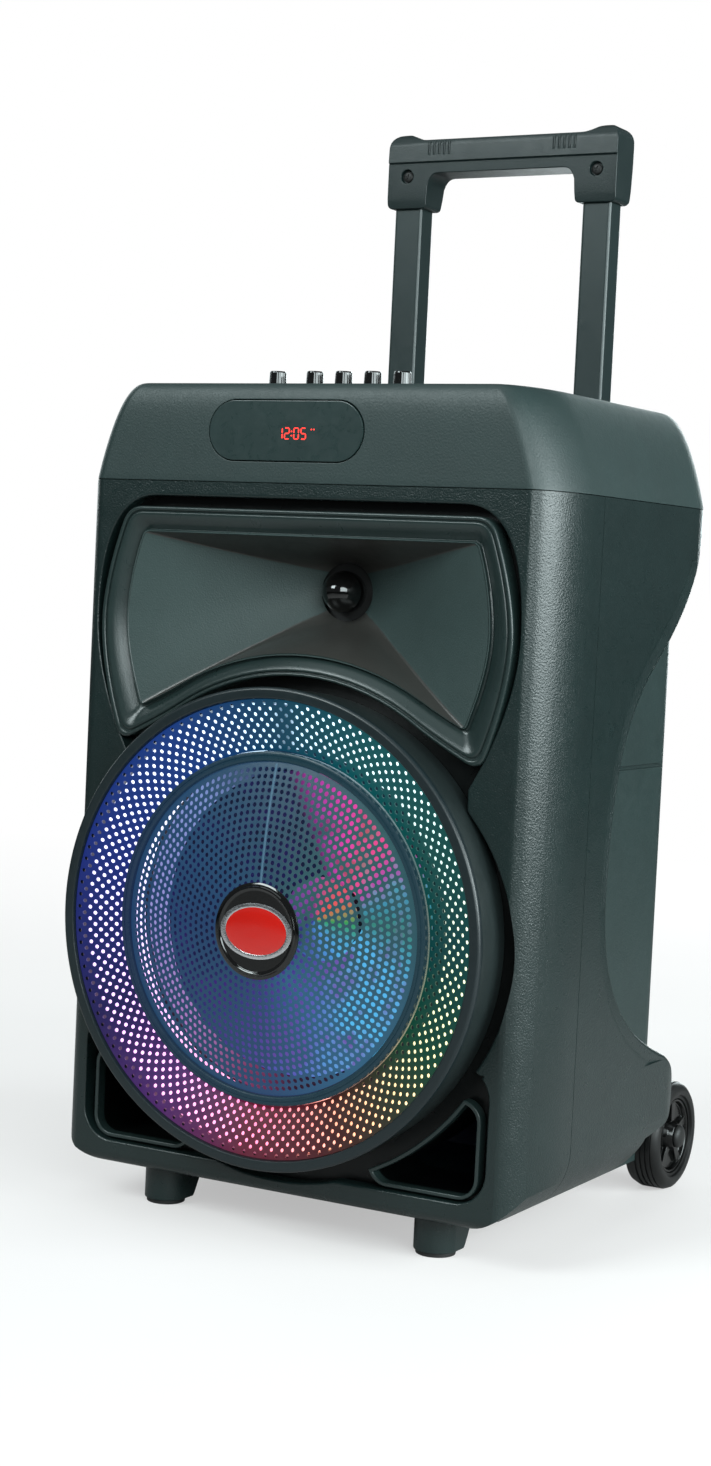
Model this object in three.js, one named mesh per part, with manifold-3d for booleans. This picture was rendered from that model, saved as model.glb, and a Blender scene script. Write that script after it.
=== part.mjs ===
// Trolley party speaker: moulded cabinet, horn, 12 inch class woofer behind a round grille,
// telescopic handle, two wheels and two feet. Millimetres, +Z up, front faces -Y, +X to the right.
// The origin is on the ground, midway between the front and the rear of the whole object.
import * as THREE from 'three';
import { mergeVertices } from 'three/addons/utils/BufferGeometryUtils.js';
import Module from 'manifold-3d';

// ---- driving dimensions -------------------------------------------------------------------
const GAP = 0.35;                 // clearance between neighbouring pieces

const CABINET_HALF = 184;         // half width of the cabinet
const FRONT_Y = -154.5;           // front plane of the cabinet
const REAR_Y = 140.5;             // rear plane of the cabinet
const BOTTOM_Z = 28;
const SEAM_Z = 504;               // joint between the cabinet and its top cover
const TOP_Z = 571;
const WALL = 4;
const FRONT_CORNER = { across: 22, back: 60 };   // the front upright edges are quarter ellipses
const REAR_CORNER = 62;
const LOWER_CORNER = 45;          // radius of the two lower corners in the front view
const PART_Y = -82.5;             // parting line between the front and the rear shell
const BOX_HALF = 152;             // half width of the narrower rear box
const BOX_CORNER = 28;
const GROOVE_Z = 319;             // groove that runs round the rear box

const FLOOR_Y = -142.5;           // floor of the recess in the front
const HORN_Z = 434;
const THROAT_Y = -92;

const WOOFER_Z = 210;             // height of the woofer axis
const RIM_Y = -184.5;             // front of the woofer ring
const RIM_R = 160;
const INNER_RING_R = 117.4;
const BADGE_FRONT_Y = -192.5;
const BADGE_R = 32;
const CONE_R = 103.5;

const POST_X = 78.5;              // handle posts, either side of the middle
const POST_WIDTH = 23;
const POST_DEPTH = 20;
const HANDLE_Y = 121.5;
const GRIP_BOTTOM_Z = 727;
const GRIP_TOP_Z = 784;
const GRIP_HALF = 95;
const POST_BOTTOM_Z = 452;

const WHEEL_R = 40;
const WHEEL_WIDTH = 28;
const WHEEL_X = 152;
const WHEEL_Y = 152.5;
const AXLE_R = 4;

const FOOT_X = 107.5;
const FOOT_Y = -121;
const FOOT_R = 15;

const PANEL = { x: -6, y: -86, width: 250, depth: 84, thickness: 3, corner: 12 };
const KNOB_X = [-58.7, -29.1, -6.4, 16.3, 39];
const KNOB_Y = -99.5;
const KNOB_R = 6.6;
const KNOB_HEIGHT = 12;
const BUTTON_X = [-58, -36, -14, 8];
const BUTTON_Y = -70;
const DISPLAY = { x: -17.5, z: 539, width: 119, height: 40 };

// ---- solids -------------------------------------------------------------------------------
const wasm = await Module();
wasm.setup();

// Turns a closed three.js geometry into a solid with its faces pointing out.
function solid(geometry) {
  const bare = geometry.index ? geometry.toNonIndexed() : geometry.clone();
  for (const name of ['normal', 'uv']) bare.deleteAttribute(name);
  const merged = mergeVertices(bare, 1e-4);
  const positions = Float32Array.from(merged.attributes.position.array);
  const corners = [];
  let volume = 0;
  const at = (i) => new THREE.Vector3().fromArray(positions, 3 * i);
  for (let i = 0; i < merged.index.count; i += 3) {
    const [a, b, c] = [0, 1, 2].map((k) => merged.index.array[i + k]);
    if (a === b || b === c || c === a) continue;
    corners.push(a, b, c);
    volume += at(a).dot(at(b).cross(at(c)));
  }
  if (volume < 0) corners.reverse();
  const mesh = new wasm.Mesh({ numProp: 3, vertProperties: positions, triVerts: Uint32Array.from(corners) });
  return new wasm.Manifold(mesh);
}

function geometryOf(body) {
  const { vertProperties, triVerts } = body.getMesh();
  const geometry = new THREE.BufferGeometry();
  geometry.setAttribute('position', new THREE.BufferAttribute(Float32Array.from(vertProperties), 3));
  geometry.setIndex(new THREE.BufferAttribute(Uint32Array.from(triVerts), 1));
  return geometry;
}

const joined = (first, ...rest) => rest.reduce((sum, next) => sum.add(next), first);
const cut = (first, ...rest) => rest.reduce((left, next) => left.subtract(next), first);

// ---- shape helpers ------------------------------------------------------------------------
function roundedRect(width, height, radius, cx = 0, cy = 0) {
  const shape = new THREE.Shape();
  const x = width / 2 - radius;
  const y = height / 2 - radius;
  shape.absarc(cx + x, cy + y, radius, 0, Math.PI / 2);
  shape.absarc(cx - x, cy + y, radius, Math.PI / 2, Math.PI);
  shape.absarc(cx - x, cy - y, radius, Math.PI, 1.5 * Math.PI);
  shape.absarc(cx + x, cy - y, radius, 1.5 * Math.PI, 2 * Math.PI);
  return shape;
}

function disc(radius, cx = 0, cy = 0) {
  return new THREE.Shape().absarc(cx, cy, radius, 0, 2 * Math.PI);
}

function extruded(shape, depth, segments) {
  return new THREE.ExtrudeGeometry(shape, { depth, bevelEnabled: false, curveSegments: segments });
}

// A prism of a plan outline (x, y) between two heights.
function prismZ(shape, z0, z1, segments = 8) {
  return solid(extruded(shape, z1 - z0, segments).translate(0, 0, z0));
}

// A prism of a front view outline (x, z) between two depths.
function prismY(shape, y0, y1, segments = 8) {
  return solid(extruded(shape, y1 - y0, segments).rotateX(Math.PI / 2).translate(0, y1, 0));
}

// A prism of a side view outline (y, z) between two widths.
function prismX(shape, x0, x1, segments = 8) {
  const turn = new THREE.Matrix4().makeBasis(
    new THREE.Vector3(0, 1, 0), new THREE.Vector3(0, 0, 1), new THREE.Vector3(1, 0, 0));
  return solid(extruded(shape, x1 - x0, segments).applyMatrix4(turn).translate(x0, 0, 0));
}

function box(x0, x1, y0, y1, z0, z1) {
  const geometry = new THREE.BoxGeometry(x1 - x0, y1 - y0, z1 - z0);
  return solid(geometry.translate((x0 + x1) / 2, (y0 + y1) / 2, (z0 + z1) / 2));
}

// A turned body round an axis along Y, at height z; the profile lists (radius, y).
function turnedY(profile, z, segments = 48, x = 0) {
  const points = profile.map(([r, y]) => new THREE.Vector2(r, y));
  return solid(new THREE.LatheGeometry(points, segments).translate(x, 0, z));
}

// A turned body round an upright axis; the profile lists (radius, z).
function turnedZ(profile, x, y, segments = 24) {
  const points = profile.map(([r, z]) => new THREE.Vector2(r, z));
  return solid(new THREE.LatheGeometry(points, segments).rotateX(Math.PI / 2).translate(x, y, 0));
}

// A turned body round an axis along X; the profile lists (radius, x).
function turnedX(profile, y, z, segments = 32) {
  const points = profile.map(([r, x]) => new THREE.Vector2(r, x));
  return solid(new THREE.LatheGeometry(points, segments).rotateZ(-Math.PI / 2).translate(0, y, z));
}

// Skins a list of rings, each a list of Vector3 of the same length. The last ring joins the
// first when the list is a loop; otherwise both ends are closed with flat caps.
function skinned(rings, isLoop) {
  const count = rings[0].length;
  const positions = rings.flat().flatMap((p) => [p.x, p.y, p.z]);
  const index = [];
  const last = isLoop ? rings.length : rings.length - 1;
  for (let r = 0; r < last; r += 1) {
    const here = r * count;
    const next = ((r + 1) % rings.length) * count;
    for (let i = 0; i < count; i += 1) {
      const j = (i + 1) % count;
      index.push(here + i, here + j, next + j, here + i, next + j, next + i);
    }
  }
  if (!isLoop) {
    const flat = rings[0].map((p) => new THREE.Vector2(p.x, p.y));
    const top = (rings.length - 1) * count;
    for (const [a, b, c] of THREE.ShapeUtils.triangulateShape(flat, [])) {
      index.push(c, b, a, top + a, top + b, top + c);
    }
  }
  const geometry = new THREE.BufferGeometry();
  geometry.setAttribute('position', new THREE.Float32BufferAttribute(positions, 3));
  geometry.setIndex(index);
  return solid(geometry);
}

// ---- materials ----------------------------------------------------------------------------
function finish(color, roughness, metalness = 0) {
  return new THREE.MeshStandardMaterial({ color, roughness, metalness });
}
const cabinetPlastic = finish(0x2b3231, 0.48);
const recessPlastic = finish(0x0b0c0c, 0.3);
const hornPlastic = finish(0x222826, 0.42);
const glossBlack = finish(0x050505, 0.12);
const grilleMetal = finish(0x10161a, 0.4, 0.8);
const rimPlastic = finish(0x2a3338, 0.35);
const diffuser = finish(0xe8ecff, 0.5);
const handlePlastic = finish(0x2f3635, 0.5);
const postMetal = finish(0x2c3331, 0.38, 0.5);
const steel = finish(0x8b8f90, 0.3, 1);
const ferrite = finish(0x232323, 0.6, 0.2);
const conePaper = finish(0x161616, 0.85);
const rubber = finish(0x0c0c0c, 0.8);
const smokedWindow = finish(0x0d1110, 0.08);
const circuitGreen = finish(0x17402a, 0.5);
const batteryCase = finish(0x3a3d42, 0.55);
const badgeMetal = finish(0xb9bcc0, 0.25, 0.9);

const speaker = new THREE.Group();

function part(name, body, material) {
  const mesh = new THREE.Mesh(geometryOf(body), material);
  mesh.name = name;
  speaker.add(mesh);
}

// ---- cabinet shells -----------------------------------------------------------------------
// Plan of the cabinet: small front corners, wide rear corners, pulled in by `inset`.
function planOutline(inset) {
  const shape = new THREE.Shape();
  const half = CABINET_HALF - inset;
  const [front, rear] = [FRONT_Y + inset, REAR_Y - inset];
  const [rx, ry, rr] = [FRONT_CORNER.across - inset, FRONT_CORNER.back - inset, REAR_CORNER - inset];
  shape.absarc(half - rr, rear - rr, rr, 0, Math.PI / 2);
  shape.absarc(-half + rr, rear - rr, rr, Math.PI / 2, Math.PI);
  shape.absellipse(-half + rx, front + ry, rx, ry, Math.PI, 1.5 * Math.PI);
  shape.absellipse(half - rx, front + ry, rx, ry, 1.5 * Math.PI, 2 * Math.PI);
  return shape;
}

function frontOutline(inset) {
  const shape = new THREE.Shape();
  const half = CABINET_HALF - inset;
  const [bottom, r] = [BOTTOM_Z + inset, LOWER_CORNER - inset];
  shape.moveTo(half, SEAM_Z);
  shape.lineTo(-half, SEAM_Z);
  shape.absarc(-half + r, bottom + r, r, Math.PI, 1.5 * Math.PI);
  shape.absarc(half - r, bottom + r, r, 1.5 * Math.PI, 2 * Math.PI);
  return shape;
}

// Side view of the cheeks: an hourglass that leaves the rear box standing back at the waist.
function cheekOutline(inset) {
  const bottom = BOTTOM_Z + inset;
  const waist = -43.8 - inset;
  const shape = new THREE.Shape();
  shape.moveTo(FRONT_Y - 1, bottom);
  shape.lineTo(15, bottom);
  shape.quadraticCurveTo(40 - inset, bottom + 2, 52 - inset, 58 + inset);
  shape.lineTo(80 - inset, 62 + inset);
  shape.quadraticCurveTo(96 - inset, 66 + inset, 96 - inset, 86);
  shape.quadraticCurveTo(96 - inset, 108 - inset, 72 - inset, 116 - inset);
  shape.bezierCurveTo(10 - inset, 136 - inset, waist, 165, waist, 237);
  shape.bezierCurveTo(waist, 330, -20 - inset, 365 + inset, 30 - inset, 400 + inset);
  shape.bezierCurveTo(62 - inset, 424 + inset, 88 - inset, 450 + inset, 92 - inset, 478 + inset);
  shape.lineTo(REAR_Y + 20, 488 + inset);
  shape.lineTo(REAR_Y + 20, SEAM_Z + 1);
  shape.lineTo(FRONT_Y - 1, SEAM_Z + 1);
  return shape;
}

const WELL = { x: 133, y: 106, z: 92 };    // clearance for each wheel in the rear box

function cabinetSolid(inset) {
  const top = SEAM_Z + (inset > 0 ? 1 : 0);
  const block = prismZ(planOutline(inset), BOTTOM_Z, top, 5).intersect(
    prismY(frontOutline(inset), FRONT_Y - 1, REAR_Y + 1, 5));
  const cheeks = block.intersect(prismX(cheekOutline(inset), -CABINET_HALF, CABINET_HALF, 5));
  const boxOuter = new THREE.Shape();
  const half = BOX_HALF - inset;
  const rear = REAR_Y - inset;
  const r = BOX_CORNER - inset;
  boxOuter.moveTo(-half, -120);
  boxOuter.lineTo(half, -120);
  boxOuter.absarc(half - r, rear - r, r, 0, Math.PI / 2);
  boxOuter.absarc(-half + r, rear - r, r, Math.PI / 2, Math.PI);
  const rearBox = prismZ(boxOuter, BOTTOM_Z + inset, top - 8, 4);
  const wellSide = WELL.x - inset;
  const wells = [-1, 1].map((side) => box(
    ...(side > 0 ? [wellSide, 200] : [-200, -wellSide]), WELL.y - inset, 200, 0, WELL.z + inset));
  const stepped = cut(joined(cheeks, rearBox), ...wells);
  return inset > 0 ? joined(stepped, box(-120, 120, -100, 120, SEAM_Z - 20, top)) : stepped;
}

// Opening in the cabinet front: horn lobe, woofer lobe and the two lower corners.
function recessSolid(inset, y0, y1) {
  const horn = new THREE.Shape();
  const [side, top] = [162.5 - inset, 494 - inset];
  horn.moveTo(131 - inset, 290);
  horn.lineTo(131 - inset, 312);
  horn.bezierCurveTo(147 - inset, 340, side, 375, side, 412);
  horn.bezierCurveTo(side, 450, 155 - inset, top, 118, top);
  horn.lineTo(-118, top);
  horn.bezierCurveTo(-155 + inset, top, -side, 450, -side, 412);
  horn.bezierCurveTo(-side, 375, -147 + inset, 340, -131 + inset, 312);
  horn.lineTo(-131 + inset, 290);
  const lobe = new THREE.Shape().absellipse(0, 205, 169 - inset, 147 - inset, 0, 2 * Math.PI);
  const foot = roundedRect(314 - 2 * inset, 90, 22, 0, 44.5 + inset + 45);
  const bowl = prismY(disc(172 - inset, 0, WOOFER_Z), y0, y1, 12).intersect(
    box(-180, 180, y0 - 1, y1 + 1, 0, 130));
  const ringClearance = prismY(disc(158.6 - Math.max(inset, 0), 0, WOOFER_Z), y0, y1, 16);
  return joined(
    prismY(horn, y0, y1, 5), prismY(lobe, y0, y1, 12), prismY(foot, y0, y1, 4), bowl, ringClearance);
}

const outerCabinet = cabinetSolid(0);
const innerCabinet = cabinetSolid(WALL);
const cabinetSkin = outerCabinet.subtract(innerCabinet);
const groove = cut(
  box(-200, 200, -40, 200, GROOVE_Z - 1.2, GROOVE_Z + 1.2),
  box(-BOX_HALF + 1.8, BOX_HALF - 1.8, -41, REAR_Y - 1.8, GROOVE_Z - 2, GROOVE_Z + 2));

// The edge of the opening turns back into the cabinet as a lip and ends just off the baffle.
const lip = recessSolid(-3, FRONT_Y + WALL - 1, FLOOR_Y - GAP).intersect(outerCabinet);
part('front_shell', cut(
  joined(cabinetSkin.intersect(box(-200, 200, -200, PART_Y - GAP / 2, 0, 600)), lip),
  recessSolid(0, FRONT_Y - 2, FLOOR_Y + 2)), cabinetPlastic);
part('rear_shell', cut(
  cabinetSkin.intersect(box(-200, 200, PART_Y + GAP / 2, 200, 0, 600)), groove), cabinetPlastic);

// ---- top cover ----------------------------------------------------------------------------
const COVER_HEIGHT = TOP_Z - SEAM_Z;
const COVER_STEPS = [0, 0.35, 0.65, 0.86, 0.96, 1];

// One level of the cover, `s` from 0 at the seam to 1 at the top.
function coverRing(s, inset) {
  const bow = 1 - Math.sqrt(Math.max(0, 1 - s * s));
  const sideIn = 15 * s + 16 * bow + inset;
  const endIn = 8 * (1 - Math.sqrt(Math.max(0, 1 - s ** 8))) + inset;
  const half = CABINET_HALF - sideIn;
  const [front, rear] = [FRONT_Y + endIn, REAR_Y - endIn];
  const ring = [];
  const corner = (cx, cy, rx, ry, from) => {
    for (let i = 0; i <= 5; i += 1) {
      const a = (from + (90 * i) / 5) * (Math.PI / 180);
      ring.push(new THREE.Vector3(cx + rx * Math.cos(a), cy + ry * Math.sin(a), 0));
    }
  };
  const [rx, ry, rr] = [FRONT_CORNER.across - inset, FRONT_CORNER.back - inset, REAR_CORNER - inset];
  corner(half - rr, rear - rr, rr, rr, 0);
  corner(-half + rr, rear - rr, rr, rr, 90);
  corner(-half + rx, front + ry, rx, ry, 180);
  corner(half - rx, front + ry, rx, ry, 270);
  const z = inset > 0 && s === 0 ? SEAM_Z - 1 : SEAM_Z + GAP + (COVER_HEIGHT - GAP - inset) * s;
  return ring.map((p) => p.setZ(z));
}
const coverShell = (inset) => skinned(COVER_STEPS.map((s) => coverRing(s, inset)), false);

const panelOutline = (grow) => roundedRect(
  PANEL.width + 2 * grow, PANEL.depth + 2 * grow, PANEL.corner, PANEL.x, PANEL.y);
const displayOutline = (grow) => roundedRect(
  DISPLAY.width + 2 * grow, DISPLAY.height + 2 * grow, DISPLAY.height / 2 + grow - 0.01,
  DISPLAY.x, DISPLAY.z);
const postOutline = (side, grow) => roundedRect(
  POST_WIDTH + 2 * grow, POST_DEPTH + 2 * grow, 2.5 + grow, side * POST_X, HANDLE_Y);

part('top_cover', cut(
  coverShell(0), coverShell(3.5),
  prismZ(panelOutline(GAP), TOP_Z - 10, TOP_Z + 5, 4),
  prismY(displayOutline(GAP), FRONT_Y - 5, FRONT_Y + 12, 6),
  prismZ(postOutline(-1, 3.5), TOP_Z - 10, TOP_Z + 5, 3),
  prismZ(postOutline(1, 3.5), TOP_Z - 10, TOP_Z + 5, 3)), cabinetPlastic);

part('display_window', prismY(displayOutline(0), FRONT_Y - 0.6, FRONT_Y + 2.2, 6), smokedWindow);
part('display_module', box(-46, 26, FRONT_Y + 5, FRONT_Y + 14, 528, 548), circuitGreen);

// ---- recess, horn and ports ---------------------------------------------------------------
const BAFFLE_BACK_Y = FLOOR_Y + 5;

// The horn mouth and the frame round it: a wide shield whose lower edge follows the woofer.
function shieldOutline({ side, top, topHalf, arc, lowX }) {
  const lowZ = WOOFER_Z + Math.sqrt(arc * arc - lowX * lowX);
  const half = Math.asin(lowX / arc);
  const mid = (lowZ + top) / 2;
  const shape = new THREE.Shape();
  shape.moveTo(lowX, lowZ);
  shape.bezierCurveTo(lowX + 12, lowZ + 14, side, mid - 24, side, mid + 4);
  shape.bezierCurveTo(side, mid + 40, topHalf + 38, top, topHalf, top);
  shape.lineTo(-topHalf, top);
  shape.bezierCurveTo(-topHalf - 38, top, -side, mid + 40, -side, mid + 4);
  shape.bezierCurveTo(-side, mid - 24, -lowX - 12, lowZ + 14, -lowX, lowZ);
  shape.absarc(0, WOOFER_Z, arc, Math.PI / 2 + half, Math.PI / 2 - half, true);
  return shape;
}
const BEZEL = { side: 158.5, top: 486.5, topHalf: 112, arc: 169, lowX: 121 };
const MOUTH = { side: 141, top: 470, topHalf: 106, arc: 185, lowX: 121 };

const corner = (side) => cut(
  prismY(roundedRect(78, 62, 13, side * 110, 79), FLOOR_Y - 20, FLOOR_Y + 90, 3),
  prismY(disc(171, 0, WOOFER_Z), FLOOR_Y - 30, FLOOR_Y + 100, 16));
const portBack = FLOOR_Y + 55;
const cornerSlab = (side, y0, y1) => corner(side).intersect(box(-200, 200, y0, y1, 0, 200));

const BAFFLE_HOLE_R = 126;
part('front_baffle', cut(
  recessSolid(-1.2, FLOOR_Y, BAFFLE_BACK_Y),
  prismY(disc(BAFFLE_HOLE_R, 0, WOOFER_Z), FLOOR_Y - 1, BAFFLE_BACK_Y + 1, 9),
  prismY(
    shieldOutline({ ...MOUTH, side: 138, top: 467, arc: 188, lowX: 118 }),
    FLOOR_Y - 1, BAFFLE_BACK_Y + 1, 5),
  cornerSlab(-1, FLOOR_Y - 1, BAFFLE_BACK_Y + 1),
  cornerSlab(1, FLOOR_Y - 1, BAFFLE_BACK_Y + 1)), recessPlastic);

for (const [name, side] of [['port_left', -1], ['port_right', 1]]) {
  const bore = corner(side).intersect(box(-200, 200, FLOOR_Y - 10, portBack + 10, 0, 200));
  const sleeve = cornerSlab(side, BAFFLE_BACK_Y + GAP, portBack);
  const shifts = [[3, 0], [-3, 0], [0, 3], [0, -3]];
  const walls = joined(...shifts.map(([dx, dz]) => sleeve.translate([dx, 0, dz])));
  part(name, walls.subtract(bore), recessPlastic);
}

part('horn_bezel', cut(
  prismY(shieldOutline(BEZEL), FRONT_Y - 2, FLOOR_Y - GAP, 6),
  prismY(shieldOutline(MOUTH), FRONT_Y - 5, FLOOR_Y + 5, 6)), hornPlastic);

// The flare narrows from the mouth to a round throat; it is one thin wall, open at both ends.
function flareRing(share, grow) {
  const mouth = shieldOutline({ ...MOUTH, side: 137, top: 466, arc: 189, lowX: 117 }).getSpacedPoints(36);
  mouth.pop();
  const ease = share ** 0.8;
  const y = FRONT_Y + 6 + (THROAT_Y - FRONT_Y - 6) * share;
  return mouth.map((p) => {
    const [dx, dz] = [p.x, p.y - HORN_Z];
    const angle = Math.atan2(dz, dx);
    const r = (1 - ease) * Math.hypot(dx, dz) + ease * 20 + grow;
    return new THREE.Vector3(r * Math.cos(angle), y, HORN_Z + r * Math.sin(angle));
  });
}
const FLARE_STEPS = [0, 0.45, 0.8, 1];
part('horn_flare', skinned([
  ...FLARE_STEPS.map((s) => flareRing(s, -1.5)),
  ...FLARE_STEPS.toReversed().map((s) => flareRing(s, 1))], true), hornPlastic);

part('tweeter_driver', turnedY([
  [0, THROAT_Y + 4], [30, THROAT_Y + 4], [30, THROAT_Y + 12], [42, THROAT_Y + 14],
  [42, THROAT_Y + 44], [0, THROAT_Y + 44]], HORN_Z, 20), ferrite);
part('phase_plug', turnedY([
  [0, THROAT_Y - 22], [7, THROAT_Y - 20], [12.5, THROAT_Y - 14.5], [14.5, THROAT_Y - 7],
  [12.5, THROAT_Y + 0.5], [8, THROAT_Y + 3.6], [0, THROAT_Y + 3.6]], HORN_Z, 16), glossBlack);

// ---- woofer and its ring ------------------------------------------------------------------
part('ring_housing', turnedY([
  [152.3, RIM_Y], [RIM_R, RIM_Y], [RIM_R, RIM_Y + 5.5], [157, RIM_Y + 8], [157, FLOOR_Y - GAP],
  [150, FLOOR_Y - GAP], [150, RIM_Y + 6], [152.3, RIM_Y + 6], [152.3, RIM_Y]], WOOFER_Z, 44), rimPlastic);
part('outer_grille', turnedY([
  [151.9, RIM_Y + 3], [151.9, RIM_Y + 4.4], [134, RIM_Y + 10], [117.8, RIM_Y + 15],
  [117.8, RIM_Y + 13.6], [134, RIM_Y + 8.6], [151.9, RIM_Y + 3]], WOOFER_Z, 40), grilleMetal);
part('inner_ring', turnedY([
  [111, RIM_Y + 7.6], [INNER_RING_R, RIM_Y + 7.6], [INNER_RING_R, RIM_Y + 13], [116.6, RIM_Y + 17],
  [111, RIM_Y + 17], [111, RIM_Y + 7.6]], WOOFER_Z, 40), rimPlastic);

// The middle grille is a shallow dome, highest behind the badge.
const DOME_R = 110.6;
const domeY = (r, back) => RIM_Y + 10 - 15 * (1 - (r / DOME_R) ** 2) + back;
const domeRadii = [0, 40, 80, DOME_R];
part('inner_grille', turnedY([
  ...domeRadii.map((r) => [r, domeY(r, 0)]),
  ...domeRadii.toReversed().map((r) => [r, domeY(r, 1.4)])], WOOFER_Z, 40), grilleMetal);
part('badge', turnedY([
  [0, BADGE_FRONT_Y], [BADGE_R - 2, BADGE_FRONT_Y], [BADGE_R, BADGE_FRONT_Y + 1],
  [BADGE_R, BADGE_FRONT_Y + 2.4], [0, BADGE_FRONT_Y + 2.4]], WOOFER_Z, 28), badgeMetal);

part('light_ring', turnedY([
  [118, -150], [149.4, -150], [149.4, -146.6], [118, -146.6], [118, -150]], WOOFER_Z, 36), diffuser);

const FRAME_Y = BAFFLE_BACK_Y + GAP;
const basketCup = turnedY([
  [106, FRAME_Y], [140, FRAME_Y], [140, FRAME_Y + 4], [122, FRAME_Y + 4], [64, -80.5],
  [30, -80.5], [30, -84], [60, -84], [106, FRAME_Y + 4], [106, FRAME_Y]], WOOFER_Z, 24);
const windows = [0, 1, 2, 3].map((i) => solid(
  new THREE.BoxGeometry(60, 27, 60)
    .translate(96, -108, 0).rotateY((i * Math.PI) / 2).translate(0, 0, WOOFER_Z)));
part('woofer_basket', cut(basketCup, ...windows), ferrite);
part('woofer_magnet', turnedY([
  [0, -80], [62, -80], [62, -74], [70, -73], [70, -48], [0, -48]], WOOFER_Z, 24), ferrite);
part('woofer_surround', turnedY([
  [104, -138], [108, -144], [116, -144], [120.5, -138], [112, -142], [104, -138]],
  WOOFER_Z, 32), rubber);
part('woofer_cone', turnedY([
  [CONE_R, -138.6], [30, -96], [24, -88], [22.6, -88], [28.6, -97.6],
  [CONE_R - 1.4, -140], [CONE_R, -138.6]], WOOFER_Z, 36), conePaper);
part('dust_cap', turnedY([
  [0, -116], [16, -113.8], [29, -106.5], [28, -105.2], [15, -112], [0, -114]],
  WOOFER_Z, 20), conePaper);

// ---- control panel on the top -------------------------------------------------------------
const PANEL_TOP = TOP_Z + 0.4;
// Each socket sits in the middle of its own square flange, set flush in a window of the panel.
const SOCKETS = [
  { name: 'mic_jack_1', x: 72, y: -99.5, r: 8, bore: 3.4, width: 25, depth: 24 },
  { name: 'mic_jack_2', x: 97.35, y: -99.5, r: 8, bore: 3.4, width: 25, depth: 24 },
  { name: 'power_inlet', x: 70, y: -67, r: 7, bore: 3, width: 25, depth: 24 },
];
const USB = { x: 44.65, y: -67, width: 25, depth: 24, slotWidth: 11.2, slotDepth: 4.2 };
const SWITCH = { x: 97, y: -66, width: 14, depth: 20, gap: 0.4, swing: 1.2 };
const flange = ({ x, y, width, depth }, grow = 0) => (
  roundedRect(width + 2 * grow, depth + 2 * grow, 1.5, x, y));
const panelHoles = [
  ...KNOB_X.map((x) => disc(4.4, x, KNOB_Y)),
  ...BUTTON_X.map((x) => disc(5.8, x, BUTTON_Y)),
  ...[...SOCKETS, USB].map((s) => flange(s, GAP)),
  roundedRect(
    SWITCH.width + 2 * SWITCH.gap, SWITCH.depth + 2 * SWITCH.swing, 0.4, SWITCH.x, SWITCH.y),
];
part('control_panel', cut(
  prismZ(panelOutline(0), PANEL_TOP - PANEL.thickness, PANEL_TOP, 4),
  joined(...panelHoles.map((hole) => prismZ(hole, PANEL_TOP - 6, PANEL_TOP + 3, 4)))), glossBlack);

KNOB_X.forEach((x, i) => part(`knob_${i + 1}`, turnedZ([
  [0, PANEL_TOP - 8], [3, PANEL_TOP - 8], [3, PANEL_TOP + GAP], [KNOB_R, PANEL_TOP + GAP],
  [KNOB_R - 0.8, PANEL_TOP + KNOB_HEIGHT],
  [0, PANEL_TOP + KNOB_HEIGHT]], x, KNOB_Y, 14), glossBlack));
BUTTON_X.forEach((x, i) => part(`button_${i + 1}`, turnedZ([
  [0, PANEL_TOP - 5], [5, PANEL_TOP - 5], [4.6, PANEL_TOP + 2.4], [0, PANEL_TOP + 2.4]],
  x, BUTTON_Y, 12), rubber));

// Round sockets: a barrel with a blind bore and a low collar, through the flange.
function socket(spec) {
  const { x, y, r, bore } = spec;
  const barrel = turnedZ([
    [0, PANEL_TOP - 16], [r - 1.4, PANEL_TOP - 16], [r - 1.4, PANEL_TOP - 1], [r, PANEL_TOP - 1],
    [r, PANEL_TOP + 1.2], [0, PANEL_TOP + 1.2]], x, y, 14);
  const hole = turnedZ([
    [0, PANEL_TOP - 13.5], [bore, PANEL_TOP - 13.5], [bore, PANEL_TOP + 2], [0, PANEL_TOP + 2]], x, y, 14);
  return cut(joined(prismZ(flange(spec), PANEL_TOP - PANEL.thickness, PANEL_TOP, 2), barrel), hole);
}
for (const s of SOCKETS) part(s.name, socket(s), ferrite);
part('usb_socket', cut(
  joined(
    prismZ(flange(USB), PANEL_TOP - PANEL.thickness, PANEL_TOP, 2),
    prismZ(
      roundedRect(USB.slotWidth + 3, USB.slotDepth + 3, 1, USB.x, USB.y),
      PANEL_TOP - 14, PANEL_TOP + 1, 2)),
  box(
    USB.x - USB.slotWidth / 2, USB.x + USB.slotWidth / 2,
    USB.y - USB.slotDepth / 2, USB.y + USB.slotDepth / 2, PANEL_TOP - 12, PANEL_TOP + 3)), steel);

const rocker = new THREE.Shape();
const rockerHalf = SWITCH.depth / 2;
rocker.moveTo(SWITCH.y - rockerHalf, PANEL_TOP - 4);
rocker.lineTo(SWITCH.y + rockerHalf, PANEL_TOP - 4);
rocker.lineTo(SWITCH.y + rockerHalf, PANEL_TOP + 1);
rocker.lineTo(SWITCH.y, PANEL_TOP + 0.6);
rocker.lineTo(SWITCH.y - rockerHalf, PANEL_TOP + 3.4);
part('power_switch', prismX(rocker, SWITCH.x - SWITCH.width / 2, SWITCH.x + SWITCH.width / 2), rubber);

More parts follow.
